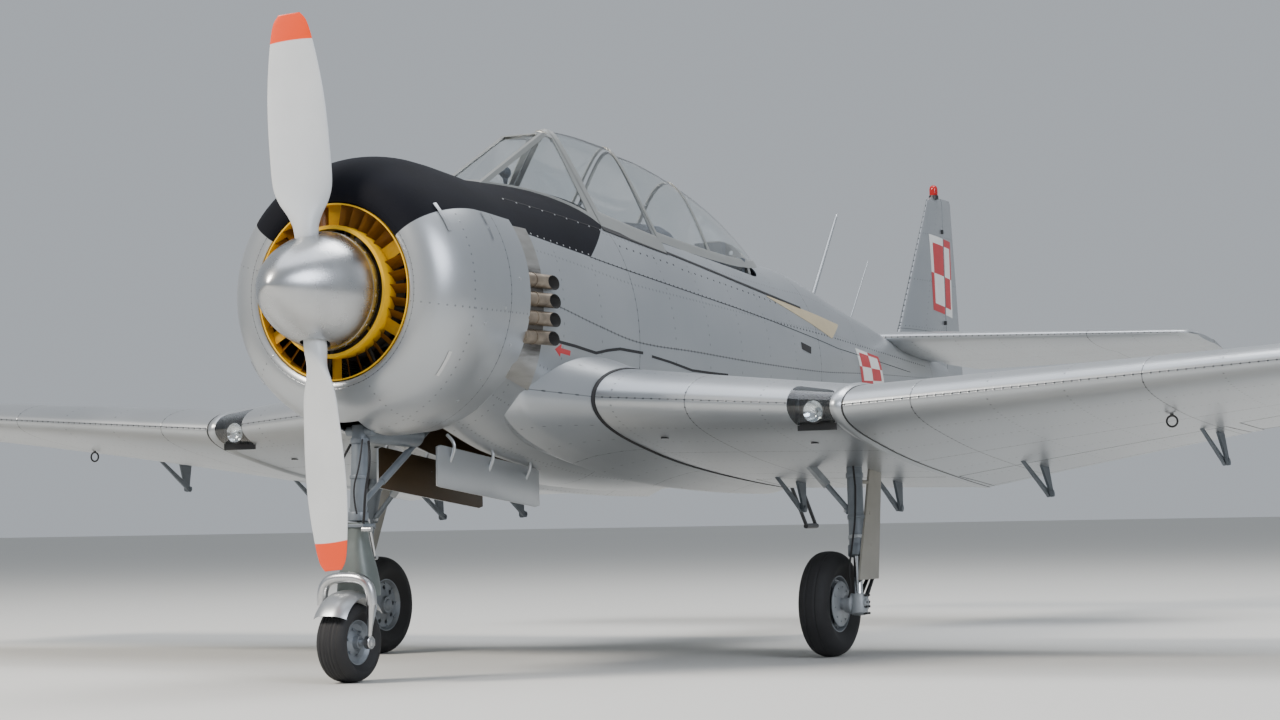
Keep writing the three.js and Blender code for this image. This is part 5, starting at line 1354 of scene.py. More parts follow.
front_frame = frame_of(hood_shell(FRONT_HOOD, 2496, 3168, *OUTER), front_zone, FRONT_SPAN)
rear_frame = frame_of(hood_shell(REAR_HOOD, 3176, 4900, *OUTER, 48), rear_zone, REAR_SPAN)
screen_glass = above_hull(screen_shell(*PANE), *SCREEN_SPAN)
front_glass = above_hull(hood_shell(FRONT_HOOD, 2496.5, 3167.5, *PANE), *FRONT_SPAN)
rear_glass = above_hull(hood_shell(REAR_HOOD, 3176.5, 4899.5, *PANE, 48), *REAR_SPAN)
show(screen_frame, "windscreen_bars", "airframe", canopy_frame, replaces=["windscreen_frame"])
show(screen_glass, "windscreen_panes", "airframe", clear_sheet, replaces=["windscreen_glass"])
show(front_frame, "front_hood_hoops", "front_hood", canopy_frame, replaces=["front_hood_frame"])
show(front_glass, "front_hood_pane", "front_hood", clear_sheet, replaces=["front_hood_glass"])
show(rear_frame, "rear_hood_hoops", "rear_hood", canopy_frame, replaces=["rear_hood_frame"])
show(rear_glass, "rear_hood_pane", "rear_hood", clear_sheet, replaces=["rear_hood_glass"])
print("canopy made")

# %% [markdown]
# ## Cockpit
# The floor, side consoles, sticks and coamings are shown by the frame's own solids, in the greys of
# the real cockpit. The arch behind the seats and the compass are made new.

# %% Finishes for the frame's own cockpit solids
def dress(name, finish):
    shapes = frame["nodes"][name].data
    shapes.materials.clear()
    shapes.materials.append(finish)


def grained(name, tones, cloud_scale, detail, grain_scale, strength, depth, rough, slot=None):
    finish, tree, shader = new_finish(name, slot)
    where, _, tone = two_tones(tree, *tones, cloud_scale, detail)
    grain = add(tree, "ShaderNodeTexVoronoi", {"Vector": where, "Scale": grain_scale})
    bump = add(tree, "ShaderNodeBump", {"Height": grain.outputs["Distance"], "Strength": strength,
                                        "Distance": depth})
    feed(tree, shader, {"Base Color": tone, "Normal": bump.outputs[0], "Roughness": rough})
    return finish


# Embossed vinyl on the coamings: a dull blue-grey with a leather grain 3 mm wide.
coaming_vinyl = grained("blue_grey_vinyl", ("#3c4654", "#4d5866"), 8.0, 5.0, 350.0, 0.3, 0.0005, 0.65,
                        "black_coaming")
# Zinc chromate primer in the bays: a brown amber, painted dark with the shade that lies in the bay.
primer_in_painted_shade = painted("amber_primer_painted_shade", "#2b2011", "#46351b", 5.0, 8.0, 0.5, slot="bay_primer")
for name in ("cockpit_floor", "front_seat", "rear_seat"):
    dress(name, interior)
for name in ("front_coaming", "rear_coaming"):
    dress(name, coaming_vinyl)
dress("nose_bay", primer_in_painted_shade)
print("cockpit solids dressed")

# %% [markdown]
# ## Rear arch and compass
# The arch is a flat plate with round holes that save weight, and with a bent lip at its edge. The
# compass is a ball on a turned stalk, with a small card before it.

# %% Rear arch and compass
ARCH_FOOT, SQUARE = 1960, 0.85  # the arch is a little squarer than an ellipse


def arch_rim(wide, foot, rise, angle):
    return wide * power(math.cos(angle), SQUARE), foot + rise * math.sin(angle) ** SQUARE


def arch_sheet(wide, foot, top, first, last):
    rim = [arch_rim(wide, foot, top - foot, math.pi * i / 40) for i in range(41)]
    return drawn_out([spot(x, first, z) for x, z in rim], AFT * (last - first) * MM)


def upright(profile, station, steps=48):
    return turned(profile, spot(0, station, 0), UP, steps, PORT)


rear_arch = cut(arch_sheet(244, ARCH_FOOT, 2312, 4490, 4498), arch_sheet(176, 1900, 2228, 4480, 4510))
for degrees in range(20, 161, 14):
    x, z = arch_rim(212, ARCH_FOOT, 312, math.radians(degrees))
    middle = spot(x, 4494, z)
    rear_arch = cut(rear_arch, rod(middle - AFT * 0.03, middle + AFT * 0.03, 13, sides=20))
lip = cut(arch_sheet(246, ARCH_FOOT, 2314, 4478, 4510), arch_sheet(241, 1900, 2309, 4470, 4520))
beam = box(spot(-240, 4488, 2076), spot(240, 4500, 2104), 2)
show(joined(rear_arch, lip, beam), "rear_arch_plate", "airframe", canopy_frame, replaces=["rear_arch"])
ball = upright([(0, 2438), (14, 2441), (25, 2452), (30, 2468), (27, 2484), (16, 2496), (0, 2500)], 2085, 32)
stalk = upright([(0, 2368), (34, 2368), (30, 2380), (13, 2388), (10, 2412), (13, 2440), (0, 2442)], 2085, 32)
card = box(spot(-20, 2050, 2458), spot(20, 2060, 2478), 2)
show(joined(ball, stalk, card), "compass_ball", "airframe", coaming_vinyl, replaces=["compass"])
print("arch and compass made")

# %% [markdown]
# ## Cushions and dials
# A seat cushion is stuffed canvas: crowned on top, pinched at its corners and flat where it rests. A
# cube cut into a grid takes that form when its thickness is swelled away from the edges and its sides
# are drawn in between the corners. The dials are turned rings with a flat face, seen from behind.

# %% Cushions and dials
# Woven cotton canvas: a faded green-grey, quite matt, with a weave 2 mm wide, the least that shows.
canvas = grained("green_grey_canvas", ("#454a40", "#5f6455"), 7.0, 6.0, 420.0, 0.4, 0.0008, 0.9)
CORNER_DRAW, EDGE_SHARE = 0.035, 0.42


def cushion(half, turn, middle):
    bm = bmesh.new()
    bmesh.ops.create_cube(bm, size=2)
    bmesh.ops.subdivide_edges(bm, edges=bm.edges[:], cuts=11, use_grid_fill=True)
    for vert in bm.verts:
        a, b, c = vert.co
        crown = EDGE_SHARE + (1 - EDGE_SHARE) * (1 - a ** 4) * (1 - b ** 4)
        wide, deep = 1 - CORNER_DRAW * (1 - b * b), 1 - CORNER_DRAW * (1 - a * a)
        vert.co = (a * wide, b * deep, c * crown if c > 0 else c * 0.98)
    for _ in range(3):
        bmesh.ops.smooth_vert(bm, verts=bm.verts, factor=0.5, use_axis_x=True, use_axis_y=True,
                              use_axis_z=True)
    size = Matrix.Diagonal((*[n * MM for n in half], 1))
    bmesh.ops.transform(bm, matrix=Matrix.Translation(middle) @ turn @ size, verts=bm.verts)
    return facing_out(bm)


flat_turn = Matrix.Rotation(0, 4, "X")
back_turn = Matrix.Rotation(math.radians(90 - 8.1), 4, "X")
for name, station in (("front", 3010), ("rear", 4150)):
    for part, half, turn, middle in (("seat", (186, 172, 52), flat_turn, spot(0, station + 4, 1664)),
                                     ("back", (180, 235, 34), back_turn, spot(0, station + 206, 1905))):
        piece = show(cushion(half, turn, middle), f"{name}_{part}_cushion", "airframe", canvas)

# across, height, radius
DIALS = ((-105, 2205, 30), (-35, 2212, 33), (35, 2212, 33), (105, 2205, 30), (-140, 2125, 27),
         (-70, 2130, 33), (0, 2132, 33), (70, 2130, 33), (140, 2125, 27))
dials = []
for station in (2524.5, 3402.5):
    for x, z, radius in DIALS:
        rim = [(0, 2), (radius - 5, 2), (radius - 5, 7), (radius - 2, 9), (radius, 7), (radius, 0), (0, 0)]
        dials.append(turned(rim, spot(x, station, z), AFT, 24))
show(joined(*dials), "panel_dials", "airframe", black_paint)
print("cushions and dials made")

# %% [markdown]
# ## Landing gear: shared shapes
# Tyres are moulded rubber with a round shoulder, so one profile is turned for each. Hoses are drawn
# as a smooth curve through a few points and given a round section.

# %% Wheel and hose helpers
def hose(points, radius, order=3, ring=3):
    curve = bpy.data.curves.new("work", "CURVE")
    curve.dimensions, curve.use_fill_caps = "3D", True
    curve.bevel_depth, curve.bevel_resolution = radius * MM, ring
    line = curve.splines.new("NURBS")
    line.points.add(len(points) - 1)
    for dot, point in zip(line.points, points):
        dot.co = (*point, 1)
    line.order_u, line.use_endpoint_u, line.resolution_u = order, True, 8
    thing = bpy.data.objects.new("work", curve)
    in_scene.link(thing)
    made = thing.evaluated_get(bpy.context.evaluated_depsgraph_get())
    bm = bmesh.new()
    bm.from_mesh(made.to_mesh())
    made.to_mesh_clear()
    bpy.data.objects.remove(thing)
    bpy.data.curves.remove(curve)
    bmesh.ops.remove_doubles(bm, verts=bm.verts, dist=1e-6)
    bmesh.ops.holes_fill(bm, edges=[e for e in bm.edges if e.is_boundary], sides=0)
    return facing_out(bm)


def tyre(centre, radius, width, rim, grooves, steps=96):
    half, wall, profile = width / 2, radius - rim, [(rim, -width * 0.31)]
    for i in range(41):
        angle = -math.pi / 2 + math.pi * i / 40
        r = rim + wall * 0.42 + wall * 0.58 * abs(math.cos(angle)) ** 0.75
        x = half * power(math.sin(angle), 0.8)
        if any(abs(x - g * half) < half * 0.045 for g in grooves):
            r -= 3.5
        profile.append((r, x))
    profile += [(rim, width * 0.31), (rim - 6, width * 0.24), (rim - 6, -width * 0.24), (rim, -width * 0.31)]
    return turned(profile, centre, PORT, steps)


def bolt_ring(centre, axis, radius, count, size, height, sides=6, start=0.0):
    side = axis.orthogonal().normalized()

    def bolt(angle):
        at = centre + Matrix.Rotation(angle, 3, axis) @ side * radius * MM
        return rod(at, at + axis * height * MM, size, size * 0.9, sides=sides)
    return ring_of(count, bolt, start)


# Sprayed enamel on the legs: a cool blue-grey gloss, with dirt in faint clouds.
leg_enamel = painted("blue_grey_leg_enamel", "#5f676f", "#80878e", 11.0, 7.0, 0.38, 0.2, slot="leg_grey")
# Hard chrome on the pistons: a mirror with a thin film of oil.
chrome = bright_metal("hard_chrome_plate", "#d8dadb", 30.0, 4.0, 0.06, 0.16)
# Forged magnesium alloy under clear lacquer: a dull cool grey.
hub_alloy = painted("forged_magnesium_alloy", "#6d737a", "#949aa0", 18.0, 6.0, 0.42, 0.55, slot="hub_metal")
# Painted castings at the feet of the legs: pale, with a cast skin.
pale_casting = painted("pale_painted_casting", "#8b9095", "#b4b9bd", 16.0, 7.0, 0.42, 0.3, slot="leg_grey")
# The nose leg's crown: the same kind of casting in a green-grey.
green_grey = painted("green_grey_casting", "#535a58", "#767e7b", 13.0, 7.0, 0.4, 0.25, slot="leg_grey")
print("gear finishes ready")

# %% [markdown]
# ## Nose gear
# The leg is an oil strut in a cast crown that flares like a bell over the wheel. A polished arch of
# tube carries the axle, and an alloy guard covers the tyre. All below the cylinder steers.

# %% Nose leg
LEG_TOP, LEG_FOOT = spot(0, 727, 1165), spot(0, 690, 640)
LEG_WAY = (LEG_FOOT - LEG_TOP).normalized()


def on_nose_leg(down):
    return LEG_TOP + LEG_WAY * down * MM


def collar(place, low, high, radius, edge):
    return rod(place(low), place(high), radius, sides=48, round_edge=edge)


nose_leg = [collar(on_nose_leg, 0, 440, 39, 2), collar(on_nose_leg, 398, 438, 47, 3),
            collar(on_nose_leg, 60, 84, 45, 2), collar(on_nose_leg, 230, 246, 44, 2),
            rod(spot(0, 727, 1130), spot(0, 1184.6, 1130), 42, 60, sides=32),
            rod(spot(-70, 727, 1140), spot(70, 727, 1140), 24, sides=32, round_edge=2),
            box(spot(-64, 640, 700), spot(64, 740, 716), 3)]
nose_leg += [rod(spot(side * 60, 727, 1140), spot(side * 150, 1184, 1180), 14) for side in (1, -1)]
show(joined(*nose_leg), "nose_leg_cylinder", "airframe", leg_enamel, replaces=["nose_leg"])
drag_strut = [rod(spot(0, 690, 783), spot(0, 1400, 1207), 13, sides=32),
              rod(spot(-143.7, 1400, 1207), spot(143.7, 1400, 1207), 15, sides=32),
              rod(spot(-40, 700, 783), spot(40, 700, 783), 15, sides=32),
              rod(spot(0, 900, 908), spot(0, 1130, 1046), 18, sides=32)]
show(joined(*drag_strut), "nose_drag_rod", "airframe", leg_enamel, replaces=["nose_drag_strut"])
hoses = [hose([spot(60, 700, 1090), spot(110, 640, 1000), spot(96, 610, 860), spot(70, 640, 740),
               spot(48, 660, 690)], 6),
         hose([spot(-50, 720, 1080), spot(-90, 650, 960), spot(-96, 640, 820), spot(-60, 640, 720)], 6),
         hose([spot(40, 680, 1100), spot(64, 620, 980), spot(30, 600, 860), spot(44, 620, 760)], 4)]
show(joined(*hoses), "nose_leg_hoses", "airframe", rubber)
print("nose leg made")

# %% [markdown]
# ## Crown and axle arch
# The crown is a bell-shaped casting, open below: a rolled skin, less a smaller copy of itself. The
# arch is a bent tube, so it is a smooth curve with a round section.

# %% Crown and axle arch
CROWN_TOP, CROWN_DEPTH, AXLE = on_nose_leg(443.5), 335, spot(0, 610, 181)
# distance down, half width, half depth, shift forward
CROWN = [[0, 46, 46, 0], [80, 50, 50, 0], [130, 60, 62, -6], [200, 78, 76, -14], [275, 94, 84, -20],
         [335, 98, 88, -22]]


def crown_place(s, t):
    _, wide, deep, shift = row_at(CROWN, CROWN_DEPTH * t)
    a = math.tau * s
    centre = CROWN_TOP + LEG_WAY * CROWN_DEPTH * t * MM - AFT * shift * MM
    out = Vector((wide * power(math.cos(a), 0.8), deep * power(math.sin(a), 0.8), 0))
    return centre + out * MM, (a * 0.1, CROWN_DEPTH * t * MM)


crown = rolled(56, 40, crown_place, closed=True, ends=True)
inside = crown.copy()
about = Matrix.Translation(AFT * 0.03 - CROWN_TOP)
bmesh.ops.scale(inside, vec=(0.91, 0.91, 1), space=about, verts=inside.verts)
bmesh.ops.translate(inside, vec=(0, 0, -0.03), verts=inside.verts)
above_opening = box(spot(-300, 300, CROWN_TOP.z * 1000 - 128), spot(300, 1000, 1400))
crown = cut(crown, cut(inside, above_opening))
half_path = [(131, 597, 350), (132, 595, 395), (122, 592, 440), (86, 590, 466), (40, 590, 474)]
arch_path = half_path + [(0, 590, 474)] + [(-x, station, z) for x, station, z in reversed(half_path)]
arch_parts = [hose([spot(*dot) for dot in arch_path], 25, 4, 6),
              rod(AXLE - PORT * 0.118, AXLE + PORT * 0.118, 16, sides=32),
              rod(spot(-26, 590, 474), spot(26, 590, 474), 24, sides=40, round_edge=3),
              rod(spot(0, 590, 474), spot(0, 650, 492), 17, sides=32)]
EYE = [(0, 92), (27, 92), (30, 95), (30, 119), (27, 122), (0, 122)]
lug = Vector((0.008, 0.015, 0.015))
for side in (1, -1):
    end = AXLE + PORT * side * 0.122
    arch_parts.append(rod(spot(side * 131, 597, 366), spot(side * 110, 608, 196), 19, 10, sides=32))
    arch_parts.append(turned(EYE, AXLE, PORT * side, 40))
    arch_parts.append(rod(AXLE + PORT * side * 0.121, AXLE + PORT * side * 0.127, 19, sides=6))
    arch_parts.append(box(end - lug, end + lug, 1.5))
show(crown, "nose_crown_casting", "nose_steering", green_grey, replaces=["nose_fork"])
show(joined(*arch_parts), "nose_fork_arch", "nose_steering", plated)
knee = spot(0, 800, 560)
links = [rod(knee - PORT * 0.034, knee + PORT * 0.034, 10),
         rod(spot(-60, 640, 690), spot(-190, 660, 690), 16, sides=28),
         rod(spot(60, 640, 690), spot(110, 640, 690), 12)]
for side in (-26, 26):
    sideways = PORT * side * MM
    links.append(rod(on_nose_leg(430) + AFT * 0.04 + sideways, knee + sideways * 0.8, 9, sides=20))
    links.append(rod(knee + sideways * 0.6, spot(side, 700, 430), 9, sides=20))
show(joined(*links), "nose_steering_links", "nose_steering", plated)
print("crown and arch made")

# %% [markdown]
# ## Nose wheel and guard
# The wheel is a turned tyre on a turned alloy hub with a ring of bolts at each face. The guard is
# one curved sheet that follows the tyre and falls away at its sides.

# %% Nose wheel and guard
nose_tyre = tyre(AXLE, 181, 152, 98, (-0.5, -0.25, 0, 0.25, 0.5))
HALF_HUB = [(102, -44), (102, -50), (97, -50), (84, -34), (60, -28), (34, -40), (30, -60), (17, -60)]
hub_profile = HALF_HUB[::-1] + [(96, -38), (92, 0), (96, 38)] + [(r, -x) for r, x in HALF_HUB] + [(17, -60)]
bolts = [bolt for face in (PORT, -PORT) for bolt in bolt_ring(AXLE + face * 0.029, face, 62, 6, 6, 8)]
show(nose_tyre, "nose_tyre_rubber", "nose_wheel", rubber, replaces=["nose_tyre"])
show(joined(turned(hub_profile, AXLE, PORT), *bolts), "nose_hub_alloy", "nose_wheel", hub_alloy,
     replaces=["nose_hub"])


def guard_place(s, t):
    angle = math.radians(28 + 118 * t)
    across = (s - 0.5) * 2
    radius = 208 - 34 * abs(across) ** 3
    out = Vector((88 * across, -radius * math.cos(angle), 28 + radius * math.sin(angle)))
    return AXLE + out * MM, (across, t)


stays = [rod(AXLE + Vector((side * 0.108, 0, 0.02)), AXLE + Vector((side * 0.084, 0.10, 0.165)), 6, sides=16)
         for side in (1, -1)]
guard = joined(sheet(16, 48, guard_place, 0.003), *stays)
show(guard, "nose_mudguard", "nose_steering", silver_plain, replaces=["mudguard"])
print("nose gear made")

# %% [markdown]
# ## Main gear
# Each leg is a grey cylinder with a chromed piston, raked out and back. A knuckle at its foot holds
# the axle, with the wheel inboard. Brake, scissor link and brace are bolted on.

# %% Main legs
WHEEL_Z = 266
WHEEL = spot(1353, 2960, WHEEL_Z)


def on_leg(z, x=0.0, y=0.0):
    return spot(1512 - 0.098 * (z - WHEEL_Z) + x, 2960 + 0.194 * (z - WHEEL_Z) + y, z)


brace_low, brace_high = on_leg(735, -36), spot(1205, 3050, 985)
main_leg = [collar(on_leg, 510, 1120, 40, 2), collar(on_leg, 505, 560, 47, 4),
            collar(on_leg, 690, 712, 45, 3), collar(on_leg, 900, 925, 45, 3),
            rod(brace_low, brace_high, 14, sides=32),
            rod(on_leg(735, -50), on_leg(735, 20), 19, sides=32),
            rod(on_leg(1040, 0, -90), on_leg(1040, 0, 90), 22, sides=32)]
BRAKE = [(24, 0), (44, 0), (44, 24), (52, 24), (52, 38), (46, 44), (24, 51), (24, 0)]
BRAKE_PLATE = [(24, 52), (108, 52), (114, 56), (114, 60), (108, 63), (24, 66), (24, 52)]
brake = turned(BRAKE, spot(1441, 2960, WHEEL_Z), PORT)
brake_plate = turned(BRAKE_PLATE, WHEEL, PORT, 80)
knuckle = [brake, brake_plate, *bolt_ring(WHEEL + PORT * 0.063, PORT, 88, 10, 5, 6),
           *bolt_ring(spot(1484, 2960, WHEEL_Z), PORT, 38, 8, 5, 8), collar(on_leg, 214, 312, 43, 6),
           rod(WHEEL + PORT * 0.05, on_leg(WHEEL_Z, 46), 30, sides=40, round_edge=3),
           collar(on_leg, 590, 608, 44, 2), rod(brace_low.lerp(brace_high, 0.52), brace_high, 24, sides=4)]
link_knee = on_leg(420) + Vector((0.02, 0.150, 0.010))
links = [bolt for z in (236, 292) for bolt in bolt_ring(on_leg(z, 30), PORT, 24, 4, 6, 22)]
for side in (-18, 18):
    at_knee = link_knee + PORT * side * 0.0007
    links += [rod(on_leg(530, side, 40), at_knee, 12, 8), rod(at_knee, on_leg(285, side, 35), 8, 12)]
pins = [rod(link_knee - PORT * 0.026, link_knee + PORT * 0.026, 9),
        rod(on_leg(735, -60, -10), on_leg(735, 30), 8, sides=20)]
lines = [hose([on_leg(860, 20, -42), on_leg(700, 20, -52), on_leg(560, 10, -90), on_leg(430, 0, -120),
               on_leg(330, -10, -70), spot(1470, 2920, 300)], 5),
         hose([on_leg(1090, 10, -46), on_leg(950, 14, -50), on_leg(860, 20, -42)], 5)]
show_pair(joined(*main_leg), "main_leg_cylinder", "airframe", leg_enamel, stands_for="main_leg")
show_pair(rod(on_leg(300), on_leg(520), 21, sides=48), "main_leg_piston", "airframe", chrome)
show_pair(joined(*knuckle), "main_leg_knuckle", "airframe", pale_casting)
show_pair(joined(*links), "main_leg_links", "airframe", black_paint)
show_pair(joined(*pins), "main_leg_pins", "airframe", plated)
show_pair(joined(*lines), "main_brake_lines", "airframe", rubber)
print("main legs made")

# %% [markdown]
# ## Leg doors and main wheels
# The door is a gently bowed sheet, clipped to the leg. The hub's section is turned, and a ring of
# rods is cut through it for its holes.

# %% Leg doors and main wheels
def door_place(s, t):
    z = 388 + (955 - 388) * t
    across = (s - 0.5) * 2
    back = 28 + 140 * t + (124 - 46 * t) * across
    return on_leg(z, 54 - 5 * across ** 2, back), (across * 0.13, z * MM)


# Old silver enamel on the doors: warmer and more matt than the skin.
door_enamel = painted("warm_grey_door_enamel", "#8d8a82", "#aaa79e", 6.0, 8.0, 0.5, slot="silver_paint")
clips = [rod(on_leg(z, 20, 30), on_leg(z, 50, 60), 10, sides=20) for z in (560, 720, 880)]
show_pair(joined(sheet(20, 40, door_place, 0.012), *clips), "leg_door_plate", "airframe", door_enamel,
          stands_for="leg_door")
HUB_SIDE = [(136, -38), (144, -45), (144, -52), (137, -52), (122, -34), (96, -30)]
hub_section = [(24, -62), (44, -62), (50, -46), *HUB_SIDE[::-1], (130, 0), *[(r, -x) for r, x in HUB_SIDE],
               (72, 36), (60, 44), (24, 44), (24, -62)]
hub_holes = bolt_ring(WHEEL - PORT * 0.09, PORT, 96, 9, 13, 180, sides=20)
wheel_hub = cut(turned(hub_section, WHEEL, PORT, 80), joined(*hub_holes))
hub_cap = turned([(0, -72), (20, -72), (30, -66), (34, -58), (0, -58)], WHEEL, PORT, 40)
hub_bolts = [bolt for face in (PORT, -PORT)
             for bolt in bolt_ring(WHEEL + face * 0.031, face, 120, 9, 6, 9, start=0.35)]
show_pair(joined(wheel_hub, hub_cap, *hub_bolts), "main_wheel_hub", "main_wheel_{side}", hub_alloy,
          stands_for="main_hub")
show_pair(tyre(WHEEL, WHEEL_Z, 160, 138, (-0.3, 0.3), 120), "main_tyre_rubber", "main_wheel_{side}", rubber,
          stands_for="main_tyre")
print("main gear made")

# %% [markdown]
# ## Doors, step and beacon
# The bay doors are flat sheets with a turned edge, the boarding step is bent tube with a ribbed
# tread, and the beacon is a red moulded dome over a dark base.

# %% Small airframe pieces
DOOR_RIM = [(1122, 1070), (1150, 1078), (2050, 974), (2082, 962), (2085, 790), (2050, 782), (1150, 880),
            (1120, 886)]
leaf = drawn_out([spot(158, station, z) for station, z in DOOR_RIM], PORT * 0.012)
for face in leaf.faces:
    face.material_index = 1 if face.normal.x < -0.5 else 0
bevelled(leaf, leaf.edges[:], 2)
necks = []
for station in (1240, 1600, 1960):
    top = 1050 - 0.108 * (station - 1120)
    bends = ((164, top - 40), (190, top + 10), (188, top + 60), (150, top + 90))
    necks.append(hose([spot(x, station, z) for x, z in bends], 8))
# The leaf's inner face takes the same primer, darkened as painted shade.
show_pair(joined(leaf, *necks), "nose_door_leaf", "airframe", silver_plain, primer_in_painted_shade,
          stands_for="nose_door")
dress("boarding_step", black_paint)
# Moulded red acrylic: deep red with fine ribs, and a little light comes through.
beacon_red, tree, shader = new_finish("moulded_red_acrylic", "beacon_red")
where = add(tree, "ShaderNodeTexCoord")
ribs = add(tree, "ShaderNodeTexWave", {"Vector": where.outputs["Object"], "Scale": 40.0}, bands_direction="Z")
tone = add(tree, "ShaderNodeMix", {0: ribs.outputs["Fac"], 6: linear("#a5121b"), 7: linear("#d02a22")},
           data_type="RGBA")
feed(tree, shader, {"Base Color": tone.outputs[2], "Roughness": 0.12, "Transmission Weight": 0.25})
dome = upright([(0, 2927), (28, 2927), (29, 2936), (29, 2970), (25, 2986), (15, 2996), (0, 3000)], 8060)
base = upright([(0, 2900), (34, 2900), (34, 2918), (31, 2926), (0, 2926)], 8060)
show(dome, "beacon_dome", "airframe", beacon_red, replaces=["beacon"])
show(base, "beacon_base", "airframe", black_paint)
print("small pieces made")

# %% [markdown]
# ## Seams, seals and markings
# Long black seals, rows of fasteners, a red arrow and two plain chequers lie on the skin. Each is a
# sheet under a millimetre thick that takes its shape from the skin's own rule, lifted a little.

# %% Sheets and rows on the skin
def hull_spot(station, z, lift=0.0):
    point = spot(hull_side(station, z), station, z)
    ahead = spot(hull_side(station + 5, z), station + 5, z) - point
    over = spot(hull_side(station, z + 5), station, z + 5) - point
    return point + ahead.cross(over).normalized() * lift * MM


def fin_spot(station, z, lift=0.0):
    _, front, chord, thickness = between(FIN, z)
    half = chord * foil((station - front) / chord, 1, thickness, 0)
    return spot(half + lift, station, z)


def sheet_on(skin, place, cells, lift):
    return sheet(*cells, lambda s, t: (skin(*place(s, t), lift), (s, t)), 0.0006)


def patch_on(skin, corners, lift, cells=(8, 8)):
    a, b, c, d = (Vector(corner) for corner in corners)
    return sheet_on(skin, lambda s, t: a.lerp(b, s).lerp(d.lerp(c, s), t), cells, lift)


def line_on(skin, points, width, lift=1.4):
    steps = len(points) - 1

    def place(s, t):
        k = min(int(s * steps), steps - 1)
        a, b = points[k], points[k + 1]
        part = s * steps - k
        return a[0] + (b[0] - a[0]) * part, a[1] + (b[1] - a[1]) * part + width * (0.5 - t)
    return sheet_on(skin, place, (steps * 12, 2), lift)


def studs(skin, first, last, count, radius, height=1.2):
    shapes = []
    for i in range(count):
        part = i / (count - 1)
        station, z = (a + (b - a) * part for a, b in zip(first, last))
        shapes.append(rod(skin(station, z, -0.5), skin(station, z, height), radius, radius * 0.8, sides=8))
    return shapes


print("deck is at", round(hull_spot(2117, 2017).z, 3))

# %% [markdown]
# ## Chequers
# The plain chequers are two rows of two fields, each with a border of the other colour along the
# outer edges. On the fin they are split at the hinge, so that the rear fields turn with the rudder.

# %% Chequers and arrow
def chequer(skin, corners, columns=(0, 1), lift=0.5):
    sheets = {"red": [], "white": []}
    a, b, c, d = (Vector(corner) for corner in corners)

    def at(u, v):
        return a.lerp(b, u).lerp(d.lerp(c, u), v)

    for row in range(2):
        for k, column in enumerate(columns):
            border, field = ("white", "red") if row == column else ("red", "white")
            for edge, colour, rise in ((0.0, border, lift), (0.2, field, lift + 0.7)):
                left, right = ((k + part) / len(columns)
                               for part in ((edge, 1.0) if column == 0 else (0.0, 1 - edge)))
                over, under = ((row + part) / 2 for part in ((edge, 1.0) if row == 0 else (0.0, 1 - edge)))
                field_corners = [at(left, over), at(right, over), at(right, under), at(left, under)]
                sheets[colour].append(patch_on(skin, field_corners, rise, (6, 6)))
    return sheets


# Gloss enamel brushed over the silver: even colours with soft clouds where they have faded.
red_enamel = painted("signal_red_enamel", "#a8232a", "#c23136", 10.0, 5.0, 0.4)
white_enamel = painted("white_enamel", "#cfd0cd", "#e2e3e0", 10.0, 5.0, 0.4)
hull_mark = chequer(hull_spot, [(5773, 1738), (6260, 1706), (6356, 1538), (5857, 1518)])
fin_mark = chequer(fin_spot, [(7883, 2642), (8158, 2629), (8158, 2096), (7905, 2115)], (0,))
rudder_mark = chequer(fin_spot, [(8178, 2628), (8332, 2620), (8332, 2080), (8178, 2094)], (1,))
arrow = [patch_on(hull_spot, [(1655, 1540), (1762, 1531), (1762, 1507), (1655, 1516)], 0.8, (6, 3)),
         patch_on(hull_spot, [(1598, 1532), (1660, 1560), (1660, 1498), (1598, 1531)], 0.8, (6, 3))]
reds, whites = hull_mark["red"] + fin_mark["red"] + arrow, hull_mark["white"] + fin_mark["white"]
show_pair(joined(*reds), "red_markings", "airframe", red_enamel)
show_pair(joined(*whites), "white_markings", "airframe", white_enamel)
show_pair(joined(*rudder_mark["red"]), "rudder_red_fields", "rudder", red_enamel)
show_pair(joined(*rudder_mark["white"]), "rudder_white_fields", "rudder", white_enamel)
print("chequers made")

# %% [markdown]
# ## Seals, screws and small fittings
# Rubber seals run along the canopy's rail and the sheets' edges, and the larger screws stand in rows
# beside them. Places are stations and heights, read along each row.

# %% Seals, screws and small fittings
# Zinc primer where the rail's recess was never painted: a flat tan.
tan_primer = painted("tan_zinc_primer", "#a89a7c", "#bcae8e", 10.0, 5.0, 0.4)
# points, width, height above the skin
SEALS = (([(2117, 2017), (3314, 1906), (4306, 1822), (5400, 1716), (7000, 1640)], 3.5, 0.6),
         ([(1484, 2262), (2427, 2191)], 3.5, 0.6),
         ([(1567, 1573), (1804, 1556), (2035, 1533), (2164, 1552), (2295, 1565), (2553, 1556)], 15, 1.4),
         ([(2655, 1543), (2863, 1523), (3126, 1490), (3350, 1485), (3582, 1483)], 13, 1.4),
         ([(2470, 2200), (2827, 2162), (3190, 2128)], 26, 3),
         ([(3190, 2128), (3993, 2030), (4898, 1933)], 12, 3))
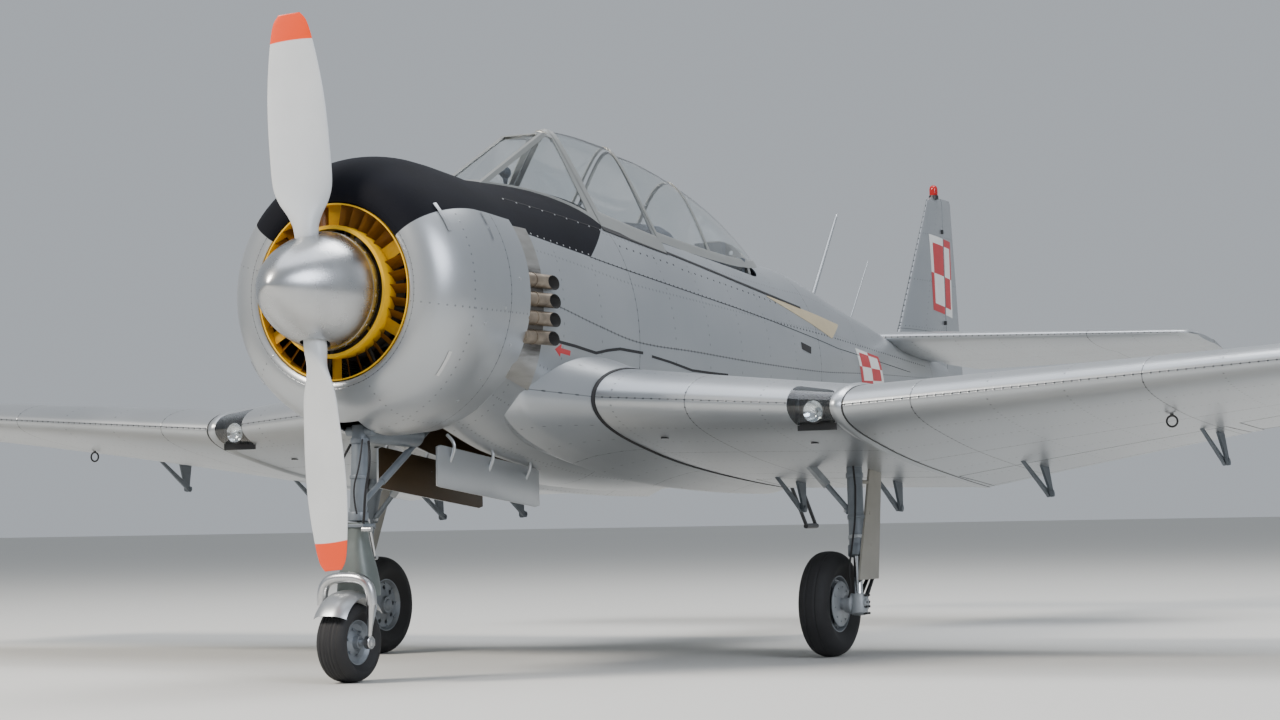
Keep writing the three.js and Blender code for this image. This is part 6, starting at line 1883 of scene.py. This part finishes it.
# first place, last place, count, radius, height
DARK_ROWS = (((2117, 2017), (4306, 1822), 46, 6.5), ((4360, 1818), (7400, 1700), 60, 6),
             ((2560, 2110), (3170, 2060), 9, 7), ((3260, 2040), (4880, 1905), 22, 6.5))
BRIGHT_ROWS = (((1290, 2098), (2100, 2030), 13, 5, 1.8), ((1484, 2257), (2427, 2186), 9, 5, 1.8),
               ((1276, 1457), (1420, 1432), 3, 11, 3), ((1276, 1400), (1420, 1385), 3, 11, 3))
seals = [line_on(hull_spot, *seal) for seal in SEALS]
seals.append(patch_on(hull_spot, [(4730, 1721), (4888, 1699), (4871, 1657), (4727, 1679)], 0.8, (6, 4)))
dark_rows = [stud for row in DARK_ROWS for stud in studs(hull_spot, *row)]
bright_rows = [stud for row in BRIGHT_ROWS for stud in studs(hull_spot, *row)]
recess = patch_on(hull_spot, [(4400, 1974), (5555, 1870), (5319, 1772), (4400, 1966)], 0.8, (30, 8))
show_pair(joined(*seals), "skin_seals", "airframe", rubber)
show_pair(joined(*dark_rows), "skin_fasteners", "airframe", black_paint)
show_pair(joined(*bright_rows), "deck_screws", "airframe", plated)
show_pair(recess, "rail_recess", "airframe", tan_primer)
notches = [box(spot(-34, 8128, 2660), spot(34, 8150, 2690), 2),
           box(spot(-44, 8128, 2022), spot(44, 8150, 2050), 2)]
show(joined(*notches), "rudder_hinge_brackets", "airframe", black_paint)
short_aerial = joined(rod(spot(150, 4878, 2118), spot(150, 4990, 2020), 4, 9, sides=16),
                      rod(spot(150, 4990, 2016), spot(150, 4996, 2028), 22, 14))
show(short_aerial, "short_blade_aerial", "airframe", black_paint)
print("seals and screws made", len(dark_rows), "and", len(bright_rows))

# %% [markdown]
# ## Under the wing
# Drain openings and tie-down rings sit on the lower skin, each on the real section of the wing. A
# drain opening is a dark disc just proud of the skin: painted shade standing for the hole.

# %% Openings and rings under the wing
def wing_spot(rows, x, fraction, drop=0.0):
    return foil_point(between(rows, x), fraction, -1) - UP * drop * MM


# Each drain is a short dark disc on the skin: painted shade where the hole would be.
drain_hole_shades = [rod(wing_spot(inner_rows, x, part, 2.2), wing_spot(inner_rows, x, part, -4), 20, sides=32)
          for x, part in ((834, 0.159), (1525, 0.221))]
wire = [(26 + 5 * math.cos(math.pi * i / 6), 5 * math.sin(math.pi * i / 6)) for i in range(13)]
tie_ring = turned(wire, wing_spot(outer_rows, 3192, 0.372, 34), AFT, 32)
tie_foot = rod(wing_spot(outer_rows, 3192, 0.372, -3), wing_spot(outer_rows, 3192, 0.372, 12), 9, 6, sides=16)
show_pair(joined(*drain_hole_shades), "wing_drain_hole_shades", "airframe", dark_well_and_hole_shade)
show_pair(joined(tie_ring, tie_foot), "tie_down_ring", "airframe", black_paint)
print("openings and rings made")
